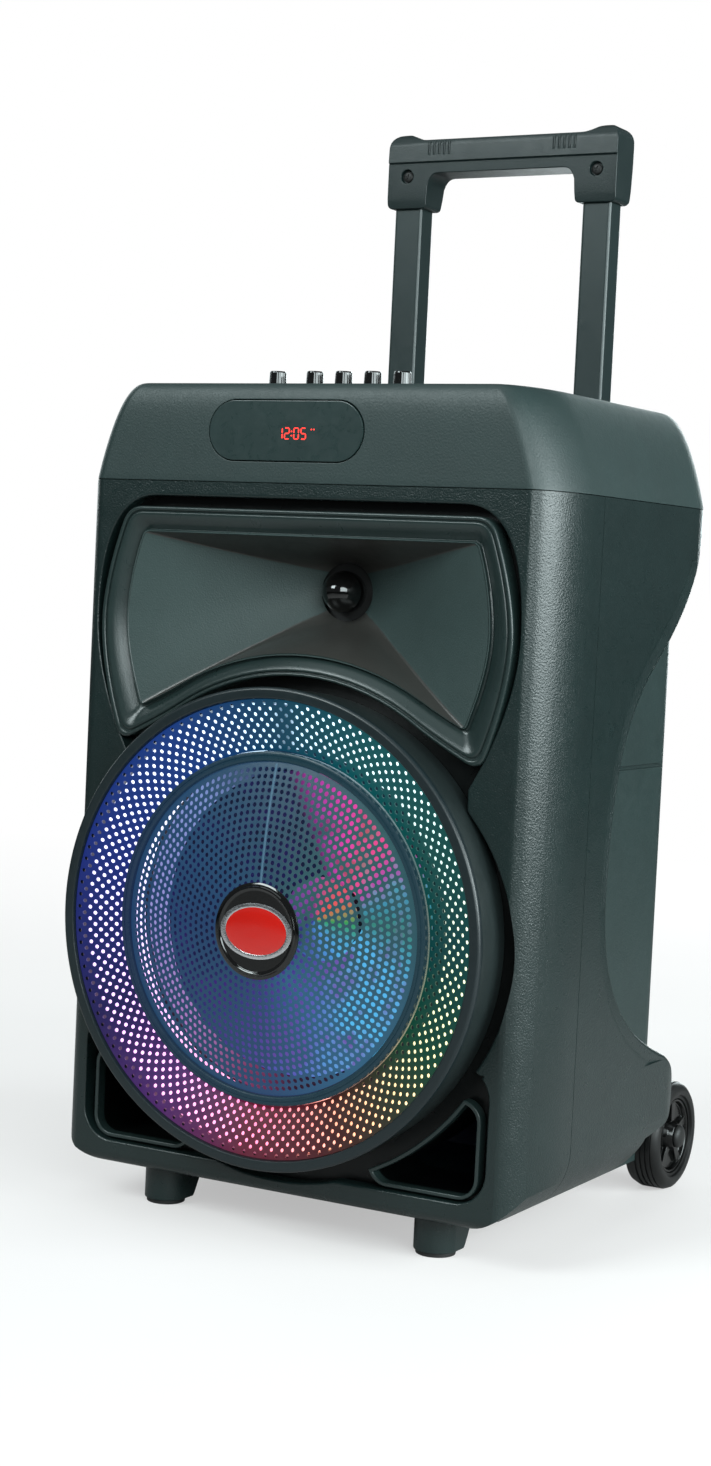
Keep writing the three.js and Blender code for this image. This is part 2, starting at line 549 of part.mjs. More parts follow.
// ---- telescopic handle --------------------------------------------------------------------
for (const [tag, side] of [['left', -1], ['right', 1]]) {
  const inner = roundedRect(POST_WIDTH - 3, POST_DEPTH - 3, 1.5, side * POST_X, HANDLE_Y);
  part(`handle_post_${tag}`, cut(
    prismZ(postOutline(side, 0), POST_BOTTOM_Z, GRIP_BOTTOM_Z + 14, 2),
    prismZ(inner, POST_BOTTOM_Z - 1, GRIP_BOTTOM_Z + 16, 2)), postMetal);
  part(`handle_sleeve_${tag}`, cut(
    prismZ(postOutline(side, 2), 282, TOP_Z - 3.5 - GAP, 2),
    prismZ(postOutline(side, GAP), 281, TOP_Z, 2)), steel);
  part(`post_collar_${tag}`, cut(
    joined(
      prismZ(postOutline(side, 3.5 - GAP), TOP_Z - 3.2, TOP_Z + GAP, 2),
      prismZ(postOutline(side, 6), TOP_Z + GAP, TOP_Z + 2.4, 2)),
    prismZ(postOutline(side, GAP), TOP_Z - 5, TOP_Z + 5, 2)), recessPlastic);
}

// Front view of the grip: end horns with a low bridge between them and a finger opening below.
function gripOutline() {
  const shape = new THREE.Shape();
  const [bridge, opening] = [GRIP_TOP_Z - 5.5, GRIP_BOTTOM_Z + 26];
  const half = (side) => [
    [side * 62, GRIP_BOTTOM_Z + 4], [side * 66, GRIP_BOTTOM_Z], [side * (GRIP_HALF - 3), GRIP_BOTTOM_Z],
    [side * GRIP_HALF, GRIP_BOTTOM_Z + 6], [side * GRIP_HALF, GRIP_TOP_Z - 10],
    [side * (GRIP_HALF - 8), GRIP_TOP_Z - 0.8], [side * 80, GRIP_TOP_Z],
    [side * 72, GRIP_TOP_Z - 4], [side * 66, bridge]];
  shape.setFromPoints([
    [-56, opening], [56, opening], [62, opening - 8], ...half(1), ...half(-1).toReversed(),
    [-62, opening - 8]].map(([x, z]) => new THREE.Vector2(x, z)));
  return shape;
}
const gripSide = new THREE.Shape().setFromPoints([
  [-13, GRIP_BOTTOM_Z], [12, GRIP_BOTTOM_Z], [16, GRIP_TOP_Z - 20], [15, GRIP_TOP_Z - 4],
  [11, GRIP_TOP_Z], [-7, GRIP_TOP_Z], [-13, GRIP_TOP_Z - 6], [-15, GRIP_TOP_Z - 18]].map(
  ([y, z]) => new THREE.Vector2(HANDLE_Y + y, z)));
const SCREW_Z = GRIP_BOTTOM_Z + 24;
const screwPocket = (side) => prismY(disc(5.2, side * POST_X, SCREW_Z), HANDLE_Y - 30, HANDLE_Y - 10.8, 4);
part('handle_grip', cut(
  prismY(gripOutline(), HANDLE_Y - 20, HANDLE_Y + 20).intersect(
    prismX(gripSide, -GRIP_HALF - 1, GRIP_HALF + 1)),
  ...[-1, 1].flatMap((side) => [
    prismZ(postOutline(side, GAP), GRIP_BOTTOM_Z - 2, GRIP_BOTTOM_Z + 14 + GAP, 2), screwPocket(side)])),
handlePlastic);
for (const [tag, side] of [['left', -1], ['right', 1]]) {
  part(`grip_screw_${tag}`, turnedY([
    [0, HANDLE_Y - 13], [3, HANDLE_Y - 13], [4, HANDLE_Y - 12.2], [4, HANDLE_Y - 11.2],
    [0, HANDLE_Y - 11.2]], SCREW_Z, 10, side * POST_X), steel);
}

// ---- wheels, axle and feet ----------------------------------------------------------------
for (const [tag, side] of [['left', -1], ['right', 1]]) {
  const across = (list) => list.map(([r, out]) => [r, side * (WHEEL_X + out)]);
  const h = WHEEL_WIDTH / 2;
  part(`wheel_${tag}`, turnedX(across([
    [AXLE_R + GAP, -h], [35, -h], [WHEEL_R, -h + 7], [WHEEL_R, h - 7], [35, h],
    [AXLE_R + GAP, h - 0.6], [AXLE_R + GAP, -h]]), WHEEL_Y, WHEEL_R, 36), glossBlack);
  part(`wheel_cap_${tag}`, turnedX(across([
    [0, h + GAP], [8.4, h + GAP], [7, h + 4], [0, h + 4.4]]), WHEEL_Y, WHEEL_R, 14), steel);
  const arm = new THREE.Shape();
  arm.moveTo(REAR_Y + GAP, 84);
  arm.lineTo(REAR_Y + GAP, WHEEL_R - 14);
  arm.absarc(WHEEL_Y, WHEEL_R, 14, -Math.PI / 2, 1.1);
  const armInner = side * (WELL.x - 14);
  const armOuter = side * (WELL.x - 1);
  part(`wheel_bracket_${tag}`, cut(
    prismX(arm, Math.min(armInner, armOuter), Math.max(armInner, armOuter), 5),
    turnedX([[0, -200], [AXLE_R + GAP, -200], [AXLE_R + GAP, 200], [0, 200]], WHEEL_Y, WHEEL_R, 16)),
  recessPlastic);
  const foot = new THREE.Shape();
  foot.absarc(side * FOOT_X, FOOT_Y, FOOT_R, Math.PI, 2 * Math.PI);
  foot.lineTo(side * FOOT_X + FOOT_R, FOOT_Y + 30);
  foot.lineTo(side * FOOT_X - FOOT_R, FOOT_Y + 30);
  const heel = new THREE.Shape().setFromPoints([
    [FOOT_Y - FOOT_R - 1, 3], [FOOT_Y + 12, 3], [FOOT_Y + 30, BOTTOM_Z - GAP],
    [FOOT_Y - FOOT_R - 1, BOTTOM_Z - GAP]].map(([y, z]) => new THREE.Vector2(y, z)));
  part(`foot_${tag}`, prismZ(foot, 2, BOTTOM_Z, 8).intersect(prismX(heel, -200, 200)), cabinetPlastic);
  part(`foot_pad_${tag}`, turnedZ([
    [0, 0], [FOOT_R - 1.5, 0], [FOOT_R - 1.5, 3 - GAP], [0, 3 - GAP]],
  side * FOOT_X, FOOT_Y, 16), rubber);
}
const axleEnd = WHEEL_X + WHEEL_WIDTH / 2;
part('wheel_axle', turnedX([[0, -axleEnd], [AXLE_R, -axleEnd], [AXLE_R, axleEnd], [0, axleEnd]],
  WHEEL_Y, WHEEL_R, 16), steel);

// ---- inside: battery and amplifier --------------------------------------------------------
part('battery', prismZ(
  roundedRect(151, 65, 3, 0, 84), BOTTOM_Z + WALL + GAP, BOTTOM_Z + WALL + 95, 3), batteryCase);
part('amplifier_board', box(-60, 110, -120, -58, 548, 551), circuitGreen);

export default speaker;
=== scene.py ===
"""Looks of the trolley party speaker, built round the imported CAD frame.

Shapes are worked out in millimetres and scaled when a mesh is made, so that every Blender
object ends up in metres in the frame's own axes: +Z up, front faces -Y, +X to the right.
"""
import math

import bmesh
import bpy
from mathutils import Matrix, Vector, geometry


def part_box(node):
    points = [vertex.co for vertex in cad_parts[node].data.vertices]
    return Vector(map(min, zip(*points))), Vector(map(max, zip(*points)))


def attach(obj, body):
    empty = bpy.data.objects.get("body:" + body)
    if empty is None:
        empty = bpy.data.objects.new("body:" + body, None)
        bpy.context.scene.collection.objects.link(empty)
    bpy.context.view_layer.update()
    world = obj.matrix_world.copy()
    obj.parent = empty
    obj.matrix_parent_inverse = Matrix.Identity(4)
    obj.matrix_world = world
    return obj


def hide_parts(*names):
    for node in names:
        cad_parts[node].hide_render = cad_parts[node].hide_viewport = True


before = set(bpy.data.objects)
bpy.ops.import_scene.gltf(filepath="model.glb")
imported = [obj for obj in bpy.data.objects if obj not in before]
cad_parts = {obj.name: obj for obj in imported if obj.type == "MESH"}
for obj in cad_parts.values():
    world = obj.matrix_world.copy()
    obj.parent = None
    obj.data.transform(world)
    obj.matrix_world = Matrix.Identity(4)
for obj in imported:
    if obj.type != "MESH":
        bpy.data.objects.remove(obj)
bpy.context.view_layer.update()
MM = 0.001
GAP = 0.35  # clearance between pieces


def limits(node):
    """The box of a CAD node as three (low, high) pairs in millimetres."""
    low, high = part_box(node)
    return [(a / MM, b / MM) for a, b in zip(low, high)]


def middle_of(node):
    """The middle of a CAD node's box, seen from above."""
    (x0, x1), (y0, y1), _ = limits(node)
    return (x0 + x1) / 2, (y0 + y1) / 2


# ---- sizes taken from the frame ---------------------------------------------------------
(_, HALF), (FRONT_Y, _), (BOTTOM, SEAM) = limits("front_shell")
REAR_Y = limits("rear_shell")[1][1]
COVER_LOW, COVER_TOP = limits("top_cover")[2]
PART_Y = limits("rear_shell")[1][0]
FLOOR_Y, BAFFLE_BACK = limits("front_baffle")[1]
RIM_R = limits("ring_housing")[0][1]
WOOFER_Z = sum(limits("ring_housing")[2]) / 2
WOOFER_AXIS = (0, WOOFER_Z)
HORN_Z = sum(limits("phase_plug")[2]) / 2
THROAT_Y = limits("horn_flare")[1][1]
BADGE_FRONT, BADGE_BACK = limits("badge")[1]
BADGE_R = limits("badge")[0][1]
PANEL_TOP = limits("control_panel")[2][1]

# ---- sizes that the frame does not give, in millimetres -----------------------------------
WALL = 4
FRONT_CORNER = (22, 60)  # along X, along Y
REAR_CORNER = 62
LOWER_CORNER = 45
BOX_HALF = 152  # the rear box between the cheeks
BOX_CORNER = 28
GROOVE_Z, GROOVE_DEPTH = 319, 2.4
WELL = (133, 106, 92)  # the wheel wells' inner side, front and top
CHEEK_EDGE = 2.8
LIP_EDGE = 1.5
REACH, REACH_UP = 200, 600  # a cutter this wide, deep and high takes in the whole cabinet
SIDES = (("left", -1), ("right", 1))


# ---- outlines, as lists of 2-D points ---------------------------------------------------
def arc(cx, cy, rx, ry, start, end, steps=12):
    """Points of an elliptic arc between two angles in degrees."""
    turns = [math.radians(start + (end - start) * i / steps) for i in range(steps + 1)]
    return [(cx + rx * math.cos(a), cy + ry * math.sin(a)) for a in turns]


def circle(cx, cy, r, steps):
    return arc(cx, cy, r, r, 0, 360, steps)[:-1]


def polar(degrees):
    a = math.radians(degrees)
    return math.cos(a), math.sin(a)


def spun(centre, points, angle):
    """Points turned by an angle and moved to a centre."""
    c, s = math.cos(angle), math.sin(angle)
    return [(centre[0] + u * c - v * s, centre[1] + u * s + v * c) for u, v in points]


def shifted(profile, start):
    """A profile whose places along the axis were counted from a start."""
    return [(radius, start + along) for radius, along in profile]


def bezier(*handles, steps=12):
    """Points of a Bezier curve of any order, without its last point."""
    points = []
    for i in range(steps):
        t, level = i / steps, list(handles)
        while len(level) > 1:
            level = [tuple(p + (q - p) * t for p, q in zip(a, b)) for a, b in zip(level, level[1:])]
        points.append(level[0])
    return points


def mirrored(points):
    """The right half of an outline, top to bottom or bottom to top, closed by its mirror image."""
    return points + [(-x, z) for x, z in reversed(points)]


def rounded(width, height, radius, cx=0.0, cy=0.0, steps=6):
    """A rectangle with round corners."""
    x, y = width / 2 - radius, height / 2 - radius
    return (
        arc(cx + x, cy + y, radius, radius, 0, 90, steps)
        + arc(cx - x, cy + y, radius, radius, 90, 180, steps)
        + arc(cx - x, cy - y, radius, radius, 180, 270, steps)
        + arc(cx + x, cy - y, radius, radius, 270, 360, steps)
    )


# ---- meshes -----------------------------------------------------------------------------
def added(name, data):
    """A new object in the scene."""
    obj = bpy.data.objects.new(name, data)
    bpy.context.scene.collection.objects.link(obj)
    return obj


def build(name, verts, faces, outward=True):
    mesh = bpy.data.meshes.new(name)
    mesh.from_pydata([[c * MM for c in v] for v in verts], [], faces)
    work = bmesh.new()
    work.from_mesh(mesh)
    bmesh.ops.remove_doubles(work, verts=work.verts, dist=1e-6)
    if outward:
        bmesh.ops.recalc_face_normals(work, faces=work.faces)
    work.to_mesh(mesh)
    work.free()
    return added(name, mesh)


def loft(name, rings, loop=False):
    """A skin over rings of points; it closes on itself as a loop, or has a cap at each end."""
    count = len(rings[0])
    faces = []
    for r in range(len(rings) if loop else len(rings) - 1):
        here, there = r * count, (r + 1) % len(rings) * count
        for i in range(count):
            j = (i + 1) % count
            faces.append((here + i, here + j, there + j, there + i))
    if not loop:
        last = (len(rings) - 1) * count
        faces += [tuple(range(count)), tuple(range(last, last + count))]
    return build(name, [p for ring in rings for p in ring], faces)


def placed(axis, along, a, b):
    """A point from its place along an axis and its two other coordinates in order."""
    point = [a, b]
    point.insert("xyz".index(axis), along)
    return tuple(point)


def prism(name, outline, axis, start, end):
    return loft(name, [[placed(axis, d, a, b) for a, b in outline] for d in (start, end)])


def turned(name, profile, axis, centre, steps=96):
    """A turned body; the profile lists (radius, place along the axis). A profile that ends
    where it starts makes a ring."""
    loop = profile[0] == profile[-1]
    rings = []
    for radius, along in profile[:-1] if loop else profile:
        rings.append([placed(axis, along, a, b) for a, b in circle(*centre, radius, steps)])
    return loft(name, rings, loop)


def block(name, x0, x1, y0, y1, z0, z1):
    return prism(name, [(x0, y0), (x1, y0), (x1, y1), (x0, y1)], "z", z0, z1)


def slab(name, y0, y1):
    """A block between two places along Y that takes in the cabinet's width and height."""
    return block(name, -REACH, REACH, y0, y1, 0, REACH_UP)


def applied(obj):
    """Turns an object's modifiers into its own mesh."""
    depsgraph = bpy.context.evaluated_depsgraph_get()
    mesh = bpy.data.meshes.new_from_object(obj.evaluated_get(depsgraph))
    old = obj.data
    obj.modifiers.clear()
    obj.data = mesh
    bpy.data.meshes.remove(old)
    return obj


def discard(obj):
    mesh = obj.data
    bpy.data.objects.remove(obj)
    bpy.data.meshes.remove(mesh)


def boolean(base, others, operation):
    for other in others:
        change = base.modifiers.new(operation, "BOOLEAN")
        change.operation, change.solver, change.object = operation, "EXACT", other
    applied(base)
    for other in others:
        discard(other)
    return base


def cut(base, *others):
    return boolean(base, others, "DIFFERENCE")


def joined(base, *others):
    return boolean(base, others, "UNION")


def common(base, *others):
    return boolean(base, others, "INTERSECT")


def merged(name, objs):
    """Several separate solids as one mesh."""
    work = bmesh.new()
    for obj in objs:
        work.from_mesh(obj.data)
    mesh = bpy.data.meshes.new(name)
    work.to_mesh(mesh)
    work.free()
    for obj in objs:
        discard(obj)
    return added(name, mesh)


def bevelled(obj, width, segments=2, angle=32):
    edge = obj.modifiers.new("edge", "BEVEL")
    edge.width, edge.segments = width * MM, segments
    edge.limit_method, edge.angle_limit = "ANGLE", math.radians(angle)
    edge.use_clamp_overlap = False
    return applied(obj)


def dress(obj, materials, body="cabinet", replaces=(), sharp=35, choose=None):
    """Gives a finished mesh its materials, shading, body and CAD nodes. The faces that
    choose(centre, normal) picks take the second material."""
    materials = materials if isinstance(materials, list) else [materials]
    obj.data.materials.clear()
    for material in materials:
        obj.data.materials.append(material)
    for face in obj.data.polygons:
        face.use_smooth = True
        face.material_index = int(choose(face.center / MM, face.normal)) if choose else 0
    obj.data.set_sharp_from_angle(angle=math.radians(sharp))
    shade = obj.modifiers.new("shade", "WEIGHTED_NORMAL")
    shade.keep_sharp = True
    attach(obj, body)
    if replaces:
        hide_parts(*replaces)
    return obj


# ---- materials --------------------------------------------------------------------------
class Nodes:
    """A short way to write a node tree."""

    def __init__(self, name):
        self.material = bpy.data.materials.new(name)
        self.material.use_nodes = True
        self.tree = self.material.node_tree
        self.shader = self.tree.nodes["Principled BSDF"]
        self.coords = self.add("ShaderNodeTexCoord").outputs["Object"]

    def add(self, kind, inputs=(), **settings):
        node = self.tree.nodes.new(kind)
        for key, value in settings.items():
            setattr(node, key, value)
        for key, value in dict(inputs).items():
            if isinstance(value, bpy.types.NodeSocket):
                self.tree.links.new(value, node.inputs[key])
            else:
                node.inputs[key].default_value = value
        return node

    def noise(self, size_mm, detail=3.0, distortion=0.0):
        made = self.add("ShaderNodeTexNoise", {
            "Vector": self.coords, "Scale": 1 / (size_mm * MM), "Detail": detail,
            "Distortion": distortion})
        return made.outputs["Fac"]

    def remap(self, value, low, high, start=0.3, end=0.7):
        made = self.add("ShaderNodeMapRange", {
            "Value": value, "From Min": start, "From Max": end, "To Min": low, "To Max": high})
        return made.outputs["Result"]

    def mottled(self, share, colour, low, high):
        """A colour that goes from a low to a high share of itself."""
        self.feed("Base Color", self.mix(share, tinted(colour, low), tinted(colour, high)))

    def math(self, operation, a, b=0.0):
        return self.add("ShaderNodeMath", {0: a, 1: b}, operation=operation).outputs[0]

    def mix(self, share, a, b):
        made = self.add("ShaderNodeMix", {0: share, 6: a, 7: b}, data_type="RGBA")
        return made.outputs[2]

    def ramp(self, value, stops):
        node = self.add("ShaderNodeValToRGB", {"Fac": value})
        elements = node.color_ramp.elements
        while len(elements) < len(stops):
            elements.new(1.0)
        for element, (place, colour) in zip(elements, stops):
            element.position = place
            element.color = (*colour, 1)
        return node.outputs["Color"]

    def feed(self, socket, value):
        if isinstance(value, bpy.types.NodeSocket):
            self.tree.links.new(value, self.shader.inputs[socket])
        else:
            self.shader.inputs[socket].default_value = value

    def bump(self, height, strength, depth_mm):
        made = self.add("ShaderNodeBump", {
            "Strength": strength, "Distance": depth_mm * MM, "Height": height})
        self.feed("Normal", made.outputs["Normal"])

    def around_woofer(self):
        """Angle round the woofer axis, 0 to 1 anticlockwise from the right."""
        split = self.add("ShaderNodeSeparateXYZ", {0: self.coords}).outputs
        up = self.math("SUBTRACT", split["Z"], WOOFER_Z * MM)
        turn = self.math("ARCTAN2", up, split["X"])
        return self.math("FRACT", self.math("ADD", self.math("DIVIDE", turn, 2 * math.pi), 1.0))


def tinted(colour, share):
    """A colour made darker or lighter, as a socket takes it."""
    return (*(min(1.0, c * share) for c in colour), 1)


def finish(name, colour, roughness, grain=0.7, grain_depth=0.05, metallic=0.0, spread=0.07,
           rough_spread=0.03, coat=0.0, specular=0.5):
    """A moulded, painted or metal surface: mottled colour, uneven gloss and a fine grain."""
    n = Nodes(name)
    n.mottled(n.remap(n.noise(38, 5.0, 0.4), 0, 1), colour, 1 - spread, 1 + spread)
    scuffs = n.noise(9, 6.0, 1.2)
    n.feed("Roughness", n.remap(scuffs, roughness - rough_spread, roughness + rough_spread))
    n.feed("Metallic", metallic)
    n.feed("Coat Weight", coat)
    n.feed("Coat Roughness", 0.08)
    n.feed("Specular IOR Level", specular)
    n.bump(n.noise(grain, 2.0), 0.6, grain_depth)
    return n.material


def brushed(name, colour, roughness):
    """Bare metal with fine lines along X."""
    n = Nodes(name)
    stretched = n.add("ShaderNodeMapping", {"Vector": n.coords, "Scale": (60, 4000, 4000)})
    lines = n.add("ShaderNodeTexNoise", {
        "Vector": stretched.outputs[0], "Scale": 1.0, "Detail": 3.0}).outputs["Fac"]
    n.mottled(lines, colour, 0.85, 1.1)
    n.feed("Roughness", n.remap(lines, roughness - 0.06, roughness + 0.1))
    n.feed("Metallic", 1.0)
    n.bump(lines, 0.3, 0.02)
    return n.material


# Colours round the woofer: (share of a turn, anticlockwise from the right, colour). All but
# the lamps come back to their first colour. All but the lamps are painted lamplight: colour
# that stands in for the lamps' light on the grilles, rings, bead, cone, surround and dust cap.
LAMP_COLOURS = [
    (0.00, (0.8, 0.85, 0.6)), (0.08, (0.6, 0.88, 0.8)), (0.17, (0.75, 0.97, 1.0)),
    (0.252, (0.55, 0.8, 1.0)), (0.256, (0.0, 0.03, 0.05)), (0.268, (0.0, 0.03, 0.05)),
    (0.272, (0.55, 0.8, 1.0)), (0.36, (0.8, 0.9, 1.0)), (0.50, (0.72, 0.62, 1.0)),
    (0.58, (0.8, 0.45, 0.95)), (0.67, (1.0, 0.35, 0.7)), (0.74, (1.0, 0.16, 0.3)),
    (0.81, (1.0, 0.38, 0.2)), (0.88, (1.0, 0.75, 0.35)), (0.95, (0.95, 1.0, 0.55)),
    (1.00, (0.8, 0.9, 0.6)),
]
GLOW_COLOURS = [
    (0.00, (0.002, 0.05, 0.05)), (0.08, (0.002, 0.07, 0.063)), (0.17, (0.001, 0.085, 0.095)),
    (0.25, (0.002, 0.05, 0.1)), (0.34, (0.003, 0.037, 0.22)), (0.45, (0.006, 0.02, 0.2)),
    (0.58, (0.015, 0.007, 0.09)), (0.66, (0.07, 0.012, 0.14)), (0.74, (0.13, 0.008, 0.03)),
    (0.82, (0.06, 0.012, 0.01)), (0.92, (0.006, 0.06, 0.03))]
DOME_LAMPLIGHT = [
    (0.00, (0.05, 0.17, 0.22)), (0.12, (0.06, 0.2, 0.22)), (0.20, (0.05, 0.14, 0.22)),
    (0.36, (0.03, 0.12, 0.28)), (0.50, (0.025, 0.09, 0.26)), (0.67, (0.03, 0.11, 0.24)),
    (0.76, (0.04, 0.11, 0.28)), (0.86, (0.05, 0.22, 0.42))]
PATCH_LAMPLIGHT = [
    (0.00, (0.16, 0.1, 0.3)), (0.08, (0.05, 0.4, 0.5)), (0.16, (0.5, 0.1, 0.12)),
    (0.26, (0.015, 0.012, 0.08)), (0.45, (0.008, 0.01, 0.08)), (0.62, (0.05, 0.02, 0.2)),
    (0.80, (0.16, 0.1, 0.45))]
RING_LAMPLIGHT = [
    (0.00, (0.02, 0.07, 0.1)), (0.25, (0.01, 0.06, 0.09)), (0.5, (0.015, 0.03, 0.14)),
    (0.75, (0.015, 0.05, 0.08))]
CONE_LAMPLIGHT = [
    (0.00, (0.04, 0.25, 0.2)), (0.05, (0.05, 0.3, 0.45)), (0.09, (0.45, 0.08, 0.45)),
    (0.13, (0.9, 0.08, 0.3)), (0.19, (0.85, 0.06, 0.45)), (0.235, (0.45, 0.05, 0.4)),
    (0.27, (0.004, 0.012, 0.04)), (0.40, (0.003, 0.006, 0.03)), (0.56, (0.006, 0.008, 0.05)),
    (0.68, (0.06, 0.05, 0.3)), (0.76, (0.1, 0.12, 0.5)), (0.83, (0.1, 0.55, 0.95)),
    (0.93, (0.1, 0.5, 0.9))]
SURROUND_LAMPLIGHT = [
    (0.00, (0.002, 0.02, 0.015)), (0.30, (0.004, 0.015, 0.05)), (0.37, (0.2, 0.28, 0.6)),
    (0.50, (0.3, 0.28, 0.65)), (0.62, (0.4, 0.18, 0.5)), (0.70, (0.2, 0.04, 0.12)),
    (0.76, (0.02, 0.005, 0.02))]
CAP_LAMPLIGHT = [
    (0.00, (0.04, 0.4, 0.12)), (0.12, (1.0, 0.12, 0.08)), (0.30, (0.3, 0.06, 0.4)),
    (0.60, (0.03, 0.05, 0.3)), (0.85, (0.1, 0.4, 0.9))]


def lamp(name, strength):
    """A frosted diffuser whose lamps change colour round the woofer."""
    n = Nodes(name)
    colour = n.ramp(n.around_woofer(), LAMP_COLOURS)
    n.feed("Base Color", (0.7, 0.72, 0.75, 1))
    n.feed("Roughness", n.remap(n.noise(3), 0.4, 0.6))
    n.feed("Emission Color", colour)
    n.feed("Emission Strength", strength)
    n.bump(n.noise(1.5), 0.4, 0.1)
    return n.material


def lit(name, colour, roughness, metallic, lights, glow, patches=None):
    """A dark surface close to the lamps, with the coloured light that they scatter over it painted on as
    an emitted glow.
    """
    n = Nodes(name)
    light = n.ramp(n.around_woofer(), lights + [(1.0, lights[0][1])])
    if patches:
        share = n.remap(n.noise(20, 1.0, 0.6), 0, 1, 0.45, 0.7)
        light = n.mix(share, light, n.ramp(n.around_woofer(), patches + [(1.0, patches[0][1])]))
    n.mottled(n.noise(12), colour, 0.8, 1.2)
    n.feed("Metallic", metallic)
    n.feed("Specular IOR Level", 0.25)
    n.feed("Roughness", n.remap(n.noise(6), roughness - 0.06, roughness + 0.06))
    n.feed("Emission Color", light)
    n.feed("Emission Strength", glow)
    n.bump(n.noise(0.6), 0.4, 0.03)
    return n.material


def glowing(name, colour, strength):
    """A lamp of one colour."""
    n = Nodes(name)
    n.mottled(n.noise(2), colour, 0.8, 1.0)
    n.feed("Emission Color", (*colour, 1))
    n.feed("Emission Strength", strength)
    return n.material


cabinet_plastic = finish("cabinet", (0.0075, 0.016, 0.0155), 0.3, 1.2, 0.42)
# A lighter, rougher copy of the cabinet plastic for the rear box: its lighter tone is painted light.
rear_plastic_with_painted_light = finish("rear_box", (0.014, 0.027, 0.026), 0.42, 1.5, 0.25)
cover_plastic = finish("cover", (0.015, 0.029, 0.028), 0.48, 1.5, 0.25)
gloss_recess = finish("recess_gloss", (0.002, 0.0026, 0.0026), 0.3, 0.8, 0.02, specular=0.25)
bezel_plastic = finish("bezel", (0.014, 0.025, 0.024), 0.3, 1.0, 0.12)
# The horn plastic and the darker, browner copy after it are lit and shaded copies of one plastic: the
# darker copy is painted shade.
horn_side = finish("horn_side", (0.031, 0.05, 0.048), 0.48, 1.1, 0.35, specular=0.4)
horn_shaded_facets = finish("horn_shaded_facets", (0.034, 0.033, 0.03), 0.34, 0.7, 0.04)
gloss_black = finish("gloss_black", (0.003, 0.003, 0.003), 0.1, 1.2, 0.005, coat=0.5)
rim_paint = finish("rim", (0.006, 0.012, 0.014), 0.36, 0.8, 0.03)
ring_side = finish("ring_side", (0.014, 0.02, 0.02), 0.34, 0.8, 0.03, rough_spread=0.04)
handle_plastic = finish("handle", (0.008, 0.016, 0.016), 0.42, 1.0, 0.16, specular=0.38)
post_paint = finish("post", (0.011, 0.021, 0.021), 0.34, 0.8, 0.05, metallic=0.1)
rubber = finish("rubber", (0.008, 0.008, 0.008), 0.6, 0.6, 0.08)
tyre_rubber = finish("tyre", (0.002, 0.002, 0.002), 0.45, 0.6, 0.05)
wheel_black = finish("wheel_black", (0.0015, 0.0015, 0.0015), 0.2, 0.8, 0.01, rough_spread=0.04)
# The cone, surround and dust cap: dark paper and rubber with painted lamplight, an emitted glow (in
# patches on the cone and cap) that stands in for the lamps' light falling on them.
cone_paper_and_lamplight = lit("cone", (0.012, 0.012, 0.013), 0.8, 0.0, CONE_LAMPLIGHT, 0.9, PATCH_LAMPLIGHT)
surround_rubber_and_lamplight = lit("surround", (0.01, 0.01, 0.01), 0.6, 0.0, SURROUND_LAMPLIGHT, 1.0)
cap_paper_and_lamplight = lit("dust_cap", (0.012, 0.012, 0.013), 0.6, 0.0, CAP_LAMPLIGHT, 0.8, CONE_LAMPLIGHT)
black_metal = finish("black_metal", (0.02, 0.02, 0.02), 0.5, 0.7, 0.05, metallic=0.4)
steel = brushed("steel", (0.5, 0.51, 0.52), 0.3)
badge_silver = brushed("badge_silver", (0.75, 0.76, 0.78), 0.22)
enamel_red = finish("enamel_red", (0.5, 0.012, 0.008), 0.12, 3, 0.01, coat=0.6)
smoked = finish("smoked_window", (0.016, 0.03, 0.029), 0.3, 0.9, 0.02, rough_spread=0.05, coat=0.15)
board = finish("circuit_board", (0.02, 0.1, 0.05), 0.4, 1.0, 0.05)
case = finish("battery_case", (0.07, 0.075, 0.085), 0.5, 0.8, 0.05)
diffuser = lamp("light_diffuser", 1.5)
# The grilles, the bead on the dome and the inner ring: dark paint with painted lamplight, an emitted glow
# that stands in for the lamps' light falling on them.
grille_paint_and_lamplight = lit("grille_paint_and_lamplight", (0.003, 0.006, 0.007), 0.35, 0.0, GLOW_COLOURS, 0.9)
dome_paint_and_lamplight = lit("dome_paint_and_lamplight", (0.004, 0.008, 0.01), 0.35, 0.0, DOME_LAMPLIGHT, 0.48)
seam_paint_and_lamplight = lit("seam_paint_and_lamplight", (0.03, 0.045, 0.05), 0.35, 0.0, DOME_LAMPLIGHT, 0.75)
ring_paint_and_lamplight = lit("ring_paint_and_lamplight", (0.01, 0.02, 0.026), 0.3, 0.1, RING_LAMPLIGHT, 0.35)
red_lamp = glowing("red_lamp", (1.0, 0.03, 0.02), 2.0)
white_mark = finish("white_mark", (0.6, 0.6, 0.6), 0.5, 0.8, 0.02)


# ---- cabinet ----------------------------------------------------------------------------
def plan_outline(half, front, rear, inset, rear_steps, front_steps):
    """The cabinet seen from above, its corners shrunk by an inset."""
    rx, ry, rr = FRONT_CORNER[0] - inset, FRONT_CORNER[1] - inset, REAR_CORNER - inset
    return (
        arc(half - rr, rear - rr, rr, rr, 0, 90, rear_steps)
        + arc(-half + rr, rear - rr, rr, rr, 90, 180, rear_steps)
        + arc(-half + rx, front + ry, rx, ry, 180, 270, front_steps)
        + arc(half - rx, front + ry, rx, ry, 270, 360, front_steps)
    )


def front_outline(inset, top):
    """The cabinet seen from the front."""
    half, bottom, r = HALF - inset, BOTTOM + inset, LOWER_CORNER - inset
    return [(half, top), (-half, top)] + arc(-half + r, bottom + r, r, r, 180, 270, 16) + arc(
        half - r, bottom + r, r, r, 270, 360, 16)


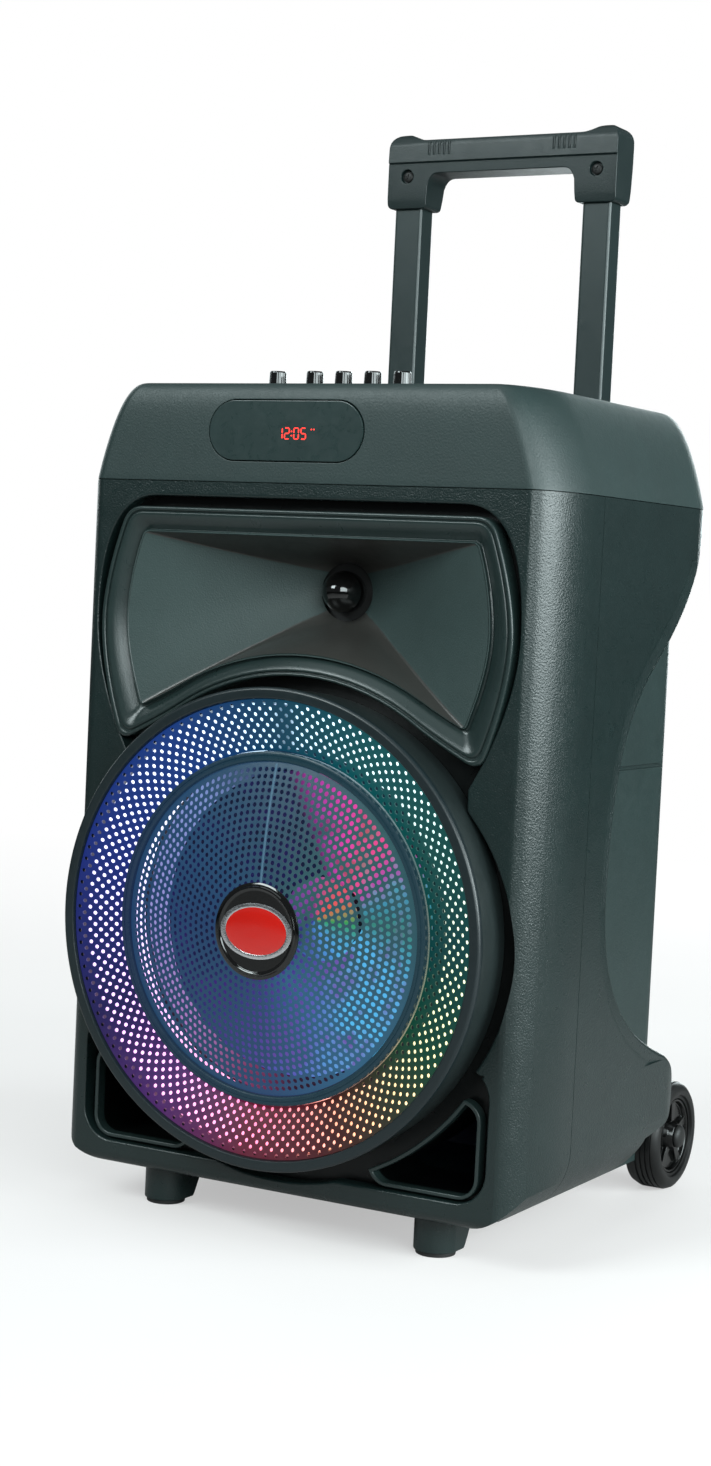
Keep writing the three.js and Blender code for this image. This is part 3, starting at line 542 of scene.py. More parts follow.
def cheek_outline(inset, top):
    """Side view of the cheeks: an hourglass that leaves the rear box standing back."""
    i, bottom, waist = inset, BOTTOM + inset, -43.8 - inset
    chin = 9
    return (
        arc(FRONT_Y + chin, bottom + chin, chin, chin, 180, 270, 8)
        + bezier((15, bottom), (40 - i, bottom + 2), (52 - i, 58 + i), steps=10)
        + [(52 - i, 58 + i)]
        + bezier((80 - i, 62 + i), (96 - i, 66 + i), (96 - i, 86), steps=10)
        + bezier((96 - i, 86), (96 - i, 108 - i), (72 - i, 116 - i), steps=10)
        + bezier((72 - i, 116 - i), (10 - i, 136 - i), (waist, 165), (waist, 237), steps=22)
        + bezier((waist, 237), (waist, 330), (-20 - i, 365 + i), (30 - i, 400 + i), steps=22)
        + bezier((30 - i, 400 + i), (62 - i, 424 + i), (88 - i, 450 + i), (92 - i, 478 + i), steps=12)
        + [(92 - i, 478 + i), (REAR_Y + 20, 488 + i), (REAR_Y + 20, top), (FRONT_Y, top)]
    )


def quarter(radius, steps=3):
    """A rounded edge as (inward, along) pairs, from its inner end to its outer end."""
    turns = [math.pi / 2 * i / steps for i in range(steps + 1)]
    return [(radius * (1 - math.cos(a)), radius * math.sin(a)) for a in turns]


def cabinet_body(inset):
    """The solid cabinet below the cover; with an inset, the hollow inside its walls."""
    top = SEAM + (1 if inset else 0)
    ends = [(inward, HALF - CHEEK_EDGE + out) for inward, out in quarter(CHEEK_EDGE, 4)]
    ends.append((CHEEK_EDGE, HALF + 1))
    ends = [(inward, -x) for inward, x in reversed(ends)] + ends
    side_view = [[(x, y, z) for y, z in cheek_outline(inset + inward, top + 2)] for inward, x in ends]
    plan = plan_outline(HALF - inset, FRONT_Y + inset, REAR_Y - inset, inset, 18, 20)
    body = common(
        prism("body", plan, "z", BOTTOM - 1, top),
        prism("front_view", front_outline(inset, top + 1), "y", FRONT_Y - 1, REAR_Y + 1),
        loft("side_view", side_view))
    half, rear, r = BOX_HALF - inset, REAR_Y - inset, BOX_CORNER - inset
    box_plan = (
        [(-half, -120), (half, -120)] + arc(half - r, rear - r, r, r, 0, 90, 12)
        + arc(-half + r, rear - r, r, r, 90, 180, 12))
    rear_box = prism("rear_box", box_plan, "z", BOTTOM + inset + 0.01, top - 8)
    side, back, height = WELL[0] - inset, WELL[1] - inset, WELL[2] + inset
    wells = [
        block("well", *sorted((s * side, s * REACH)), back, REACH, 0, height) for _, s in SIDES]
    body = cut(joined(body, rear_box), *wells)
    if inset:
        body = joined(body, block("way", -120, 120, -100, 120, SEAM - 20, top + 0.5))
    return body


def cheek_flute(side):
    """A cutter for the shallow flute that sets off a bead along the edge of a cheek."""
    def outlines(stations):
        return [[(side * x, y, z) for y, z in cheek_outline(inset, SEAM + 2)] for inset, x in stations]

    depth = HALF - 1.7
    band = cut(
        loft("flute", outlines([(7.6, depth), (3.0, HALF), (0.4, HALF + 1)])),
        loft("field", outlines([(8.0, depth - 1), (8.0, depth), (12.5, HALF), (15.7, HALF + 1.2)])))
    low, high = sorted((side * (depth - 2), side * (HALF + 2)))
    return common(band, block("span", low, high, -75, 88, 112, 468))


def horn_lobe(inset):
    """The part of the front opening round the horn."""
    side, top = 162.5 - inset, 494 - inset
    return mirrored(
        [(131 - inset, 290)]
        + bezier((131 - inset, 312), (147 - inset, 340), (side, 375), (side, 412), steps=16)
        + bezier((side, 412), (side, 450), (155 - inset, top), (118, top), steps=16) + [(118, top)])


def ellipse(cz, rx, rz, steps=144):
    return arc(0, cz, rx, rz, 0, 360, steps)[:-1]


RECESS_PARTS = [  # each gives an outline for an inset
    horn_lobe,
    lambda inset: ellipse(205, 169 - inset, 147 - inset),
    lambda inset: rounded(314 - 2 * inset, 90 - 2 * inset, 22 - inset, 0, 89.5, 10),
    lambda inset: ellipse(WOOFER_Z, 158.6 - inset / 4, 158.6 - inset / 4),
    lambda inset: ellipse(WOOFER_Z, 172 - inset, 172 - inset, 180),
]


def recess(inset, y0, y1, edge=0.0):
    """The opening in the front: horn lobe, woofer lobe, lower corners, ring and bowl. With an
    edge it widens in a quarter round where it reaches the front face."""
    parts = []
    for i, outline in enumerate(RECESS_PARTS):
        stagger = 1 + 0.37 * i
        stations = [(inset, y1 + stagger)]
        if edge:
            stations += [(inset - inward, FRONT_Y + edge - out) for inward, out in quarter(edge)]
            stations.append((inset - edge, y0 - stagger))
        else:
            stations.append((inset, y0 - stagger))
        part = loft("recess", [[(x, y, z) for x, z in outline(grown)] for grown, y in stations])
        if i == len(RECESS_PARTS) - 1:
            part = common(part, block("lower", -180, 180, y0 - 9, y1 + 9, 0, 130))
        parts.append(part)
    return common(joined(*parts), slab("span", y0, y1))


def copy_of(obj):
    twin = obj.copy()
    twin.data = obj.data.copy()
    bpy.context.scene.collection.objects.link(twin)
    return twin


POST_X, HANDLE_Y = middle_of("handle_post_right")
POST_WIDTH, POST_DEPTH = (high - low for low, high in limits("handle_post_right")[:2])


def post_outline(side, grow, steps=5):
    """A handle post from above, or with a growth what surrounds it."""
    return rounded(
        POST_WIDTH + 2 * grow, POST_DEPTH + 2 * grow, 2.5 + max(grow, -1.5),
        side * POST_X, HANDLE_Y, steps)


def make_shells():
    outer = cabinet_body(0)
    skin = cut(copy_of(outer), cabinet_body(WALL))
    lip = common(recess(-3, FRONT_Y - 1, FLOOR_Y - GAP), copy_of(outer))
    parting = 0.3
    front = common(copy_of(skin), slab("front_part", -REACH, PART_Y - parting))
    front = cut(joined(front, lip), recess(0, FRONT_Y - 2, FLOOR_Y + 2, LIP_EDGE))
    front.name = "front_shell_fine"
    dress(front, cabinet_plastic, replaces=["front_shell"])
    side, rear_y = BOX_HALF - GROOVE_DEPTH, REAR_Y - GROOVE_DEPTH
    groove = cut(
        block("groove", -BOX_HALF - 1, BOX_HALF + 1, -60, REACH, GROOVE_Z - 1.5, GROOVE_Z + 1.5),
        block("core", -side, side, -61, rear_y, GROOVE_Z - 2, GROOVE_Z + 2))
    rear = common(skin, slab("rear_part", PART_Y + parting, REACH))
    rear = cut(rear, groove, cheek_flute(-1), cheek_flute(1))
    rear.name = "rear_shell_fine"
    # The rear box between the cheeks takes the lighter copy of the cabinet plastic: painted light that
    # makes it lighter than the cheeks.
    dress(rear, [cabinet_plastic, rear_plastic_with_painted_light], replaces=["rear_shell"],
          choose=lambda centre, normal: abs(centre.x) < BOX_HALF + 1)
    discard(outer)


# ---- top cover and its window -----------------------------------------------------------
def cover_ring(s, inset):
    """The cover's outline at a share of its height; it leans in and bows to the top."""
    bow = 1 - math.sqrt(max(0.0, 1 - s * s))
    side = 15 * s + 16 * bow + inset
    end = 8 * (1 - math.sqrt(max(0.0, 1 - s ** 8))) + inset
    height = COVER_LOW + (COVER_TOP - COVER_LOW - inset) * s - (1 if inset and s == 0 else 0)
    plan = plan_outline(HALF - side, FRONT_Y + end, REAR_Y - end, inset, 14, 16)
    return [(x, y, height) for x, y in plan]


WINDOW_X, (WINDOW_FRONT, WINDOW_BACK), WINDOW_Z = limits("display_window")
PANEL_X, PANEL_Y, _ = limits("control_panel")


def window_outline(grow):
    width, height = (high - low + 2 * grow for low, high in (WINDOW_X, WINDOW_Z))
    return rounded(width, height, height / 2 - 0.01, sum(WINDOW_X) / 2, sum(WINDOW_Z) / 2, 16)


def panel_outline(grow):
    width, depth = (high - low + 2 * grow for low, high in (PANEL_X, PANEL_Y))
    return rounded(width, depth, 12 + grow, *middle_of("control_panel"), 8)


def make_cover():
    steps = [1 - (1 - i / 26) ** 2.2 for i in range(27)]
    cover = cut(
        loft("top_cover_fine", [cover_ring(s, 0) for s in steps]),
        loft("hollow", [cover_ring(s, 3.5) for s in steps]),
        prism("panel_hole", panel_outline(GAP), "z", COVER_TOP - 10, COVER_TOP + 5),
        prism("window_hole", window_outline(0.6), "y", FRONT_Y - 5, FRONT_Y + 12),
        *(prism("shaft", post_outline(s, 3.5), "z", COVER_TOP - 10, COVER_TOP + 5)
          for _, s in SIDES))
    dress(bevelled(cover, 0.7, 2, 40), cover_plastic, replaces=["top_cover"])

    window = prism("display_window_fine", window_outline(0), "y", WINDOW_FRONT, WINDOW_BACK)
    dress(bevelled(window, 0.6, 2), smoked, replaces=["display_window"])


READING = "1205"
SEGMENTS = {"0": "abcdef", "1": "bc", "2": "abged", "5": "afgcd"}  # the lit bars of a digit
DIGIT_HEIGHT, DIGIT_WIDTH, DIGIT_STEP, BAR = 7.2, 3.6, 1.9, 0.75


def bar_outline(x, z, length, upright):
    """A bar with pointed ends, upright or lying, round its centre."""
    h, w = length / 2, BAR / 2
    shape = [(-h, 0), (-h + w, w), (h - w, w), (h, 0), (h - w, -w), (-h + w, -w)]
    return [(x + b, z + a) if upright else (x + a, z + b) for a, b in shape]


def make_digits():
    """A generic clock reading in lit bars, and two small status dots."""
    left, base = -23.0, 533.6
    front, back = WINDOW_FRONT - 0.12, WINDOW_FRONT + 0.4
    w, h = DIGIT_WIDTH, DIGIT_HEIGHT
    bars = {
        "a": (w / 2, h, w, False), "g": (w / 2, h / 2, w, False), "d": (w / 2, 0, w, False),
        "f": (0, h * 0.75, h / 2, True), "b": (w, h * 0.75, h / 2, True),
        "e": (0, h * 0.25, h / 2, True), "c": (w, h * 0.25, h / 2, True)}
    solids = []
    for i, digit in enumerate(READING):
        x0 = left + i * (w + DIGIT_STEP) + (1.6 if i > 1 else 0)
        for key in SEGMENTS[digit]:
            x, z, length, upright = bars[key]
            outline = bar_outline(x0 + x, base + z, length - 0.5, upright)
            solids.append(prism("bar", outline, "y", front, back))
    colon = left + 2 * (w + DIGIT_STEP) - 0.2
    for x, z in [(colon, 2.2), (colon, 5.0), (left + 26, 6.4), (left + 28, 6.4)]:
        solids.append(prism("dot", circle(x, base + z, 0.5, 10), "y", front, back))
    dress(merged("display_digits", solids), red_lamp)


# ---- recess floor, ports and horn -------------------------------------------------------
PORT = dict(width=78, height=62, corner=13, x=110, z=79, arc=171)


def port_prism(side, y0, y1, grow=0.0):
    """The corner port: a rounded block with the woofer's arc taken out of it."""
    width, height = PORT["width"] + 2 * grow, PORT["height"] + 2 * grow
    shape = rounded(width, height, PORT["corner"] + grow, side * PORT["x"], PORT["z"], 8)
    return cut(
        prism("port", shape, "y", y0, y1),
        prism("arc", circle(0, WOOFER_Z, PORT["arc"] - grow, 180), "y", y0 - 1, y1 + 1))


WOOFER_HOLE = 126  # radius


def make_baffle():
    """The recess floor with its holes, and the ports with a ridge round each."""
    through = FLOOR_Y - 1, BAFFLE_BACK + 1
    baffle = cut(
        recess(-1.2, FLOOR_Y, BAFFLE_BACK),
        prism("woofer", circle(0, WOOFER_Z, WOOFER_HOLE, 96), "y", *through),
        prism("mouth", shield(1.0), "y", *through),
        *(port_prism(s, *through) for _, s in SIDES))
    baffle.name = "front_baffle_fine"
    dress(baffle, gloss_recess, replaces=["front_baffle"])
    for name, side in SIDES:
        back = limits(f"port_{name}")[1][1]
        ridge = cut(
            port_prism(side, FLOOR_Y - 9, FLOOR_Y - 0.05, 1.9),
            port_prism(side, FRONT_Y - 20, FLOOR_Y + 1, -1.0))
        ridge.name = f"port_ridge_{name}"
        dress(bevelled(ridge, 0.9, 3, 50), bezel_plastic)
        duct = cut(
            port_prism(side, BAFFLE_BACK + GAP, back, 2.2), port_prism(side, BAFFLE_BACK - 1, back + 1, 0))
        duct.name = f"port_{name}_fine"
        dress(duct, gloss_recess, replaces=[f"port_{name}"])


# The horn frame's outer edge and the horn's mouth: corners at the bottom and top, the widest
# point between them, and the handles of the two curves that make each side.
BEZEL = [(139, 324), (148, 345), (158.4, 380), (158.4, 408), (158.4, 430), (150, 462), (139.5, 486.5)]
MOUTH = [(124.5, 350.5), (131, 368), (138.7, 390), (138.7, 410), (138.7, 430), (134, 452), (127.5, 469)]
BEZEL_ROUND, MOUTH_ROUND = 11, 3.5
BEZEL_ARC, MOUTH_ARC, ARC_END, ARC_LEAD = 166.8, 182, 92, 14
EDGE_POINTS, CORNER_POINTS = 24, 6


def resampled(points, trim, count):
    """Evenly spaced points along a line, leaving out a length at both of its ends."""
    marks = [0.0]
    for (x0, z0), (x1, z1) in zip(points, points[1:]):
        marks.append(marks[-1] + math.hypot(x1 - x0, z1 - z0))
    made, k = [], 0
    for i in range(count):
        at = trim + (marks[-1] - 2 * trim) * i / (count - 1)
        while k < len(marks) - 2 and marks[k + 1] < at:
            k += 1
        share = (at - marks[k]) / (marks[k + 1] - marks[k])
        made.append(tuple(a + (b - a) * share for a, b in zip(points[k], points[k + 1])))
    return made


def shield(t):
    """The outline between the frame's outer edge, t 0, and the horn's mouth, t 1: right side,
    top, left side and the arc over the woofer, with rounded corners between them."""
    low, c1, c2, wide, c3, c4, high = [
        tuple(a + (b - a) * t for a, b in zip(p, q)) for p, q in zip(BEZEL, MOUTH)]
    right = bezier(low, c1, c2, wide, steps=20) + bezier(wide, c3, c4, high, steps=20) + [high]
    left = [(-x, z) for x, z in reversed(right)]
    radius = BEZEL_ARC + (MOUTH_ARC - BEZEL_ARC) * t
    spread = math.degrees(math.asin(ARC_END / radius))
    end = radius * math.cos(math.radians(spread))
    lead = (ARC_END + ARC_LEAD, WOOFER_Z + end - ARC_LEAD * ARC_END / end)
    tip = bezier((ARC_END, WOOFER_Z + end), lead, low, steps=12)[1:] + [low]
    bottom = (
        [(-x, z) for x, z in reversed(tip)]
        + arc(0, WOOFER_Z, radius, radius, 90 + spread, 90 - spread, 48) + tip)
    trim = BEZEL_ROUND + (MOUTH_ROUND - BEZEL_ROUND) * t
    edges = [resampled(e, trim, EDGE_POINTS) for e in (right, [high, left[0]], left, bottom)]
    corners = [high, left[0], left[-1], low]
    outline = []
    for i, (edge, corner) in enumerate(zip(edges, corners)):
        outline += edge[:-1] + bezier(edge[-1], corner, edges[(i + 1) % 4][0], steps=CORNER_POINTS)
    return outline


HORN_LIP_Y = FRONT_Y + 2.6


BEZEL_PROFILE = [  # (share of the way from the outer edge to the mouth, place along Y)
    (0.0, 1.4), (0.02, 0.5), (0.06, 0), (0.12, 0.1), (0.15, 0.6), (0.165, 1.7), (0.2, 1.8),
    (0.225, 0.9), (0.27, 0.5), (0.36, 0.8), (0.5, 2.2), (0.65, 4.4), (0.8, 6.8), (0.88, 7.7),
    (0.93, 7.2), (0.955, 4.9), (0.98, 4.3)]


def make_bezel():
    """The frame round the horn: a rim with a groove inside it and a cove to the mouth."""
    floor = FLOOR_Y - GAP
    profile = [(0.0, floor), *shifted(BEZEL_PROFILE, FRONT_Y - 2), (1.0, HORN_LIP_Y), (1.0, floor)]
    rings = [[(x, y, z) for x, z in shield(t)] for t, y in profile]
    dress(loft("horn_bezel_fine", rings, loop=True), bezel_plastic,
          replaces=["horn_bezel"], sharp=50)


def make_horn():
    """The flare from the mouth to a round throat, and the plug in the throat."""
    throat_r, wall, fold = 20, 1.4, 3  # fold: half the angle that a corner takes up
    corners = [-38, 38, 142, 218, 322]  # throat angles that the mouth's corners run to
    turns = []
    for start, end in zip(corners, corners[1:]):
        for i in range(EDGE_POINTS - 1):
            turns.append(start + fold + (end - start - 2 * fold) * i / (EDGE_POINTS - 1))
        turns += [end - fold + 2 * fold * i / CORNER_POINTS for i in range(CORNER_POINTS)]
    mouth = [(x, z, *polar(a)) for (x, z), a in zip(shield(1), turns)]

    def ring(share, grow):
        ease = share ** 0.85
        y = HORN_LIP_Y + (THROAT_Y - HORN_LIP_Y) * share
        return [
            ((1 - ease) * x + (ease * throat_r + grow) * c, y,
             (1 - ease) * z + ease * HORN_Z + (ease * throat_r + grow) * s)
            for x, z, c, s in mouth]

    steps = [i / 14 for i in range(15)]
    rings = [ring(s, 0) for s in steps] + [ring(s, wall) for s in reversed(steps)]
    flare = loft("horn_flare_fine", rings, loop=True)
    # The facets above and below the throat take the darker, browner copy: painted shade where less light
    # falls on them; the side facets take the lighter one.
    dress(flare, [horn_side, horn_shaded_facets], replaces=["horn_flare"], sharp=24,
          choose=lambda centre, normal: abs(normal.z) > abs(normal.x) * 1.15)
    (_, r), (plug_front, plug_back), _ = limits("phase_plug")
    middle = plug_front + r * 1.25
    ball = [(r * c, middle - r * 1.2 * s) for c, s in map(polar, range(90, -50, -6))]
    plug = turned("phase_plug_fine", ball + [(0, plug_back)], "y", (0, HORN_Z), 48)
    dress(plug, gloss_black, replaces=["phase_plug"])


# ---- woofer ring, grilles, lamps and badge ----------------------------------------------
RING_LIP, SEAT = 152.3, (150, 157)  # radii of the front's inner edge and of the wall behind it


def make_ring():
    """The housing ring, its front edge rounded on the outside."""
    front, back = limits("ring_housing")[1]
    r, lip, (seat_in, seat_out) = RIM_R, RING_LIP, SEAT
    profile = (
        [(lip, front + 6), (lip, front + 1.2), (lip + 0.5, front + 0.4), (lip + 1.5, front)]
        + [(r - 2.2 + 2.2 * s, front + 2.2 - 2.2 * c) for c, s in map(polar, range(0, 91, 15))]
        + [(r, front + 4.6), (r - 0.6, front + 5.5), (157.4, front + 6.2), (seat_out, front + 8),
           (seat_out, back), (seat_in, back), (seat_in, front + 6), (lip, front + 6)])
    ring = turned("ring_housing_fine", profile, "y", WOOFER_AXIS, 180)
    dress(ring, [rim_paint, ring_side], replaces=["ring_housing"],
          choose=lambda centre, normal: centre.y >= front + 5.4)


RIM_CORNERS, HOLE_CORNERS = 240, 12


def sheet(name, rims, holes, radius, depth, thickness=0.9):
    """A thin sheet between round rims, the outer one first, with round holes of one radius;
    depth(r) is its place along Y."""
    points, edges = [], []

    def add_loop(cx, cz, r, count):
        start = len(points)
        points.extend(Vector(p) for p in circle(cx, cz, r, count))
        edges.extend((start + i, start + (i + 1) % count) for i in range(count))

    for r in rims:
        add_loop(0, 0, r, RIM_CORNERS)
    first = len(points)
    for cx, cz in holes:
        add_loop(cx, cz, radius, HOLE_CORNERS)
    flat, _, faces, origin, *_ = geometry.delaunay_2d_cdt(points, edges, [], 0, 1e-6)

    def loop_of(i):
        """Which loop a point came from: -1 for the outer rim, -2 for the inner, then holes."""
        source = origin[i][0]
        if source < first:
            return -1 - source // RIM_CORNERS
        return (source - first) // HOLE_CORNERS

    kept = []
    for face in faces:  # a face within one loop fills a hole, unless it lies on the outer rim
        loops = {loop_of(i) for i in face}
        if len(loops) > 1 or loops == {-1}:
            kept.append(tuple(face))
    verts = [(p.x, depth(p.length), WOOFER_Z + p.y) for p in flat]
    made = build(name, verts, kept, outward=False)
    solid = made.modifiers.new("thickness", "SOLIDIFY")
    solid.thickness, solid.offset, solid.use_even_offset = thickness * MM, -1, False
    return applied(made)


def hole_row(r, count, shift, start=0.0):
    """The centres of holes evenly spaced on a circle."""
    turns = [start + 2 * math.pi * (k + shift) / count for k in range(count)]
    return [(r * math.cos(a), r * math.sin(a)) for a in turns]


EDGE_INSET = 1.4  # how far a grille's deepest edge stays in front of its node's back
OUTER_INNER, OUTER_FIRST, OUTER_PITCH, OUTER_HOLE = 117.8, 120.3, 3.62, 1.35
OUTER_ROWS, OUTER_PER_ROW = 9, 112


def make_outer_grille():
    (_, r_out), (front, back), _ = limits("outer_grille")
    drop = back - front - EDGE_INSET

    def depth(r):
        return front + drop * (max(0.0, (r_out - r) / (r_out - OUTER_INNER))) ** 1.1

    holes = []
    for row in range(OUTER_ROWS):
        holes += hole_row(OUTER_FIRST + row * OUTER_PITCH, OUTER_PER_ROW, 0.5 * (row % 2))
    grille = sheet("outer_grille_fine", [r_out, OUTER_INNER], holes, OUTER_HOLE, depth)
    dress(grille, grille_paint_and_lamplight, replaces=["outer_grille"])


DOME_PITCH, DOME_HOLE, DOME_ROWS = 4.6, 1.65, range(6, 24)  # row n has 6 n holes


def make_inner_grille():
    (_, r_out), (front, back), _ = limits("inner_grille")
    edge = back - EDGE_INSET

    def depth(r):
        return edge + (front - edge) * (1 - (r / r_out) ** 2)

    holes = []
    for row in DOME_ROWS:
        holes += hole_row(row * DOME_PITCH, 6 * row, 0.5, math.pi / 2)
    dome = sheet("inner_grille_fine", [r_out], holes, DOME_HOLE, depth)
    dress(dome, dome_paint_and_lamplight, replaces=["inner_grille"])

    weld = []
    for i in range(25):  # a bead that runs up the dome from the badge
        r = BADGE_R + (r_out - BADGE_R - 1) * i / 24
        weld.append([(0.85 * c, depth(r) + 0.2 - 0.8 * s, WOOFER_Z + r)
                     for c, s in map(polar, range(0, 360, 36))])
    dress(loft("grille_seam", weld), seam_paint_and_lamplight)


INNER_RING_R, LAMP_RING_R = 111, 118  # inner radii


def make_inner_ring():
    """The ring between the grilles, with a groove in its face."""
    (_, r_out), (front, back), _ = limits("inner_ring")
    r_in = INNER_RING_R
    face = [
        (r_in, 1.5), (r_in + 0.6, 0.5), (r_in + 1.8, 0), (r_in + 3, 0.1), (r_in + 3.3, 0.7),
        (r_in + 3.7, 0.7), (r_in + 4, 0.1), (r_out - 1.2, 0.1), (r_out - 0.3, 0.6), (r_out, 1.5),
        (r_out, 5)]
    profile = [(r_in, back), *shifted(face, front), (116.6, back), (r_in, back)]
    ring = turned("inner_ring_fine", profile, "y", WOOFER_AXIS, 160)
    dress(ring, ring_paint_and_lamplight, replaces=["inner_ring"])


def make_lamps():
    """The diffuser ring, with an upturned outer wall that the lamps light as well."""
    (_, r_out), (front, back), _ = limits("light_ring")
    r_in = LAMP_RING_R
    face = [(r_in, 1), (r_in + 1, 0.4), (r_out - 3, 0), (r_out - 1.2, -2), (r_out - 0.6, -20),
            (r_out + 0.2, -20.4)]
    profile = [(r_in, back), *shifted(face, front), (r_out + 0.2, back), (r_in, back)]
    ring = turned("light_ring_fine", profile, "y", WOOFER_AXIS, 160)
    dress(ring, diffuser, replaces=["light_ring"])


ENAMEL = (24.5, 16.5)  # half width, half height


def make_badge():
    """A black disc with a raised rim, a red ellipse of enamel on it and a silver line round that."""
    front, back, r = BADGE_FRONT, BADGE_BACK, BADGE_R
    face = [
        (0, 1.1), (r - 5.4, 1.1), (r - 4.8, 0.9), (r - 4.2, 0.25), (r - 3.4, 0), (r - 2.6, 0.25),
        (r - 2.1, 0.9), (r - 1, 1), (r, 1.6)]
    disc = turned("badge_fine", [*shifted(face, front), (r, back), (0, back)], "y", WOOFER_AXIS, 96)
    dress(disc, gloss_black, replaces=["badge"])
    rings = []
    for grow, rise in map(polar, range(0, 90, 10)):
        outline = ellipse(0, ENAMEL[0] * grow, ENAMEL[1] * grow, 64)
        rings.append([(x, front + 1.05 - 0.9 * rise, WOOFER_Z + z) for x, z in outline])
    dress(loft("badge_enamel", rings), enamel_red, sharp=60)
    rim = turned("badge_rim", [(1.06, 0), (1.12, -0.35), (1.0, -0.75), (0.94, -0.3), (1.06, 0)],
                 "y", (0, 0), 64)
    for vertex in rim.data.vertices:
        x, y, z = vertex.co / MM
        vertex.co = Vector((ENAMEL[0] * x, front + 1.15 + y, WOOFER_Z + ENAMEL[1] * z)) * MM
    dress(rim, badge_silver, sharp=60)


# ---- top controls -----------------------------------------------------------------------
KNOBS = [f"knob_{i}" for i in range(1, 6)]
BUTTONS = [f"button_{i}" for i in range(1, 5)]
KNOB_HOLE, BUTTON_HOLE, SPINDLE_R = 4.4, 5.8, 3  # radii
MARK = [(8.4, -0.3), (10, -0.3), (10, 0.3), (8.4, 0.3)]


def node_outline(node, wider, deeper, radius, steps=4):
    """A CAD node's box from above, grown by some clearance, with round corners."""
    (x0, x1), (y0, y1), _ = limits(node)
    return rounded(x1 - x0 + wider, y1 - y0 + deeper, radius, *middle_of(node), steps)


def make_panel():
    panel = prism("control_panel_fine", panel_outline(0), "z", PANEL_TOP - 3, PANEL_TOP)
    holes = [circle(*middle_of(knob), KNOB_HOLE, 24) for knob in KNOBS]
    holes += [circle(*middle_of(button), BUTTON_HOLE, 28) for button in BUTTONS]
    holes += [node_outline(node, 0.7, 0.7, 1.8)
              for node in ("mic_jack_1", "mic_jack_2", "power_inlet", "usb_socket")]
    holes.append(node_outline("power_switch", 0.8, 2.4, 0.8))
    panel = cut(panel, *(prism("hole", h, "z", PANEL_TOP - 6, PANEL_TOP + 3) for h in holes))
    dress(bevelled(panel, 0.35, 2, 40), gloss_black, replaces=["control_panel"])

    trim = []
    for knob in KNOBS:  # scale marks round each knob
        for degrees in range(-45, 226, 27):
            outline = spun(middle_of(knob), MARK, math.radians(degrees))
            trim.append(prism("mark", outline, "z", PANEL_TOP - 0.2, PANEL_TOP + 0.06))
    dress(merged("panel_marks", trim), white_mark)


def make_knobs():
    """Knobs with a fluted side, each on a spindle and with a pointer, and the push buttons."""
    for knob in KNOBS:
        (x0, x1), _, (low, high) = limits(knob)
        (cx, cy), r = middle_of(knob), (x1 - x0) / 2
        skirt = PANEL_TOP + GAP
        levels = [(0.97, skirt, 0), (1.0, skirt + 0.5, 0), (1.0, skirt + 1.6, 0), (0.95, skirt + 2.2, 1),
                  (0.9, high - 1.4, 1), (0.86, high - 0.4, 0.4), (0.8, high, 0), (0.62, high, 0),
                  (0.56, high - 0.5, 0), (0.02, high - 0.5, 0)]
        rings = []
        for share, z, flute in levels:
            ring = []
            for k in range(96):
                a = 2 * math.pi * k / 96
                radius = r * share * (1 - 0.035 * flute * (1 + math.cos(24 * a)) / 2)
                ring.append((cx + radius * math.cos(a), cy + radius * math.sin(a), z))
            rings.append(ring)
        cap = loft(f"{knob}_fine", rings)
        spindle = turned("spindle", [
            (0, low), (SPINDLE_R, low), (SPINDLE_R, skirt + 0.2), (0, skirt + 0.2)],
            "z", (cx, cy), 24)
        dress(merged(f"{knob}_fine", [cap, spindle]), gloss_black, knob, [knob])
        line = block(f"{knob}_pointer", cx - 0.4, cx + 0.4, cy - 0.98 * r * 0.8, cy - r * 0.45,
                     high - 0.6, high)
        dress(line, white_mark, knob)
    for button in BUTTONS:
        (x0, x1), _, (low, high) = limits(button)
        r = (x1 - x0) / 2
        profile = [(0, low), (r, low), (r * 0.96, high - 1), (r * 0.9, high - 0.3), (r * 0.78, high),
                   (r * 0.6, high - 0.15), (0, high - 0.6)]
        dress(turned(f"{button}_fine", profile, "z", middle_of(button), 40), rubber,
              button, [button])


JACKS = [  # node, radius of its bore, radius of its nut
    ("mic_jack_1", 3.4, 8), ("mic_jack_2", 3.4, 8), ("power_inlet", 3.0, 7)]


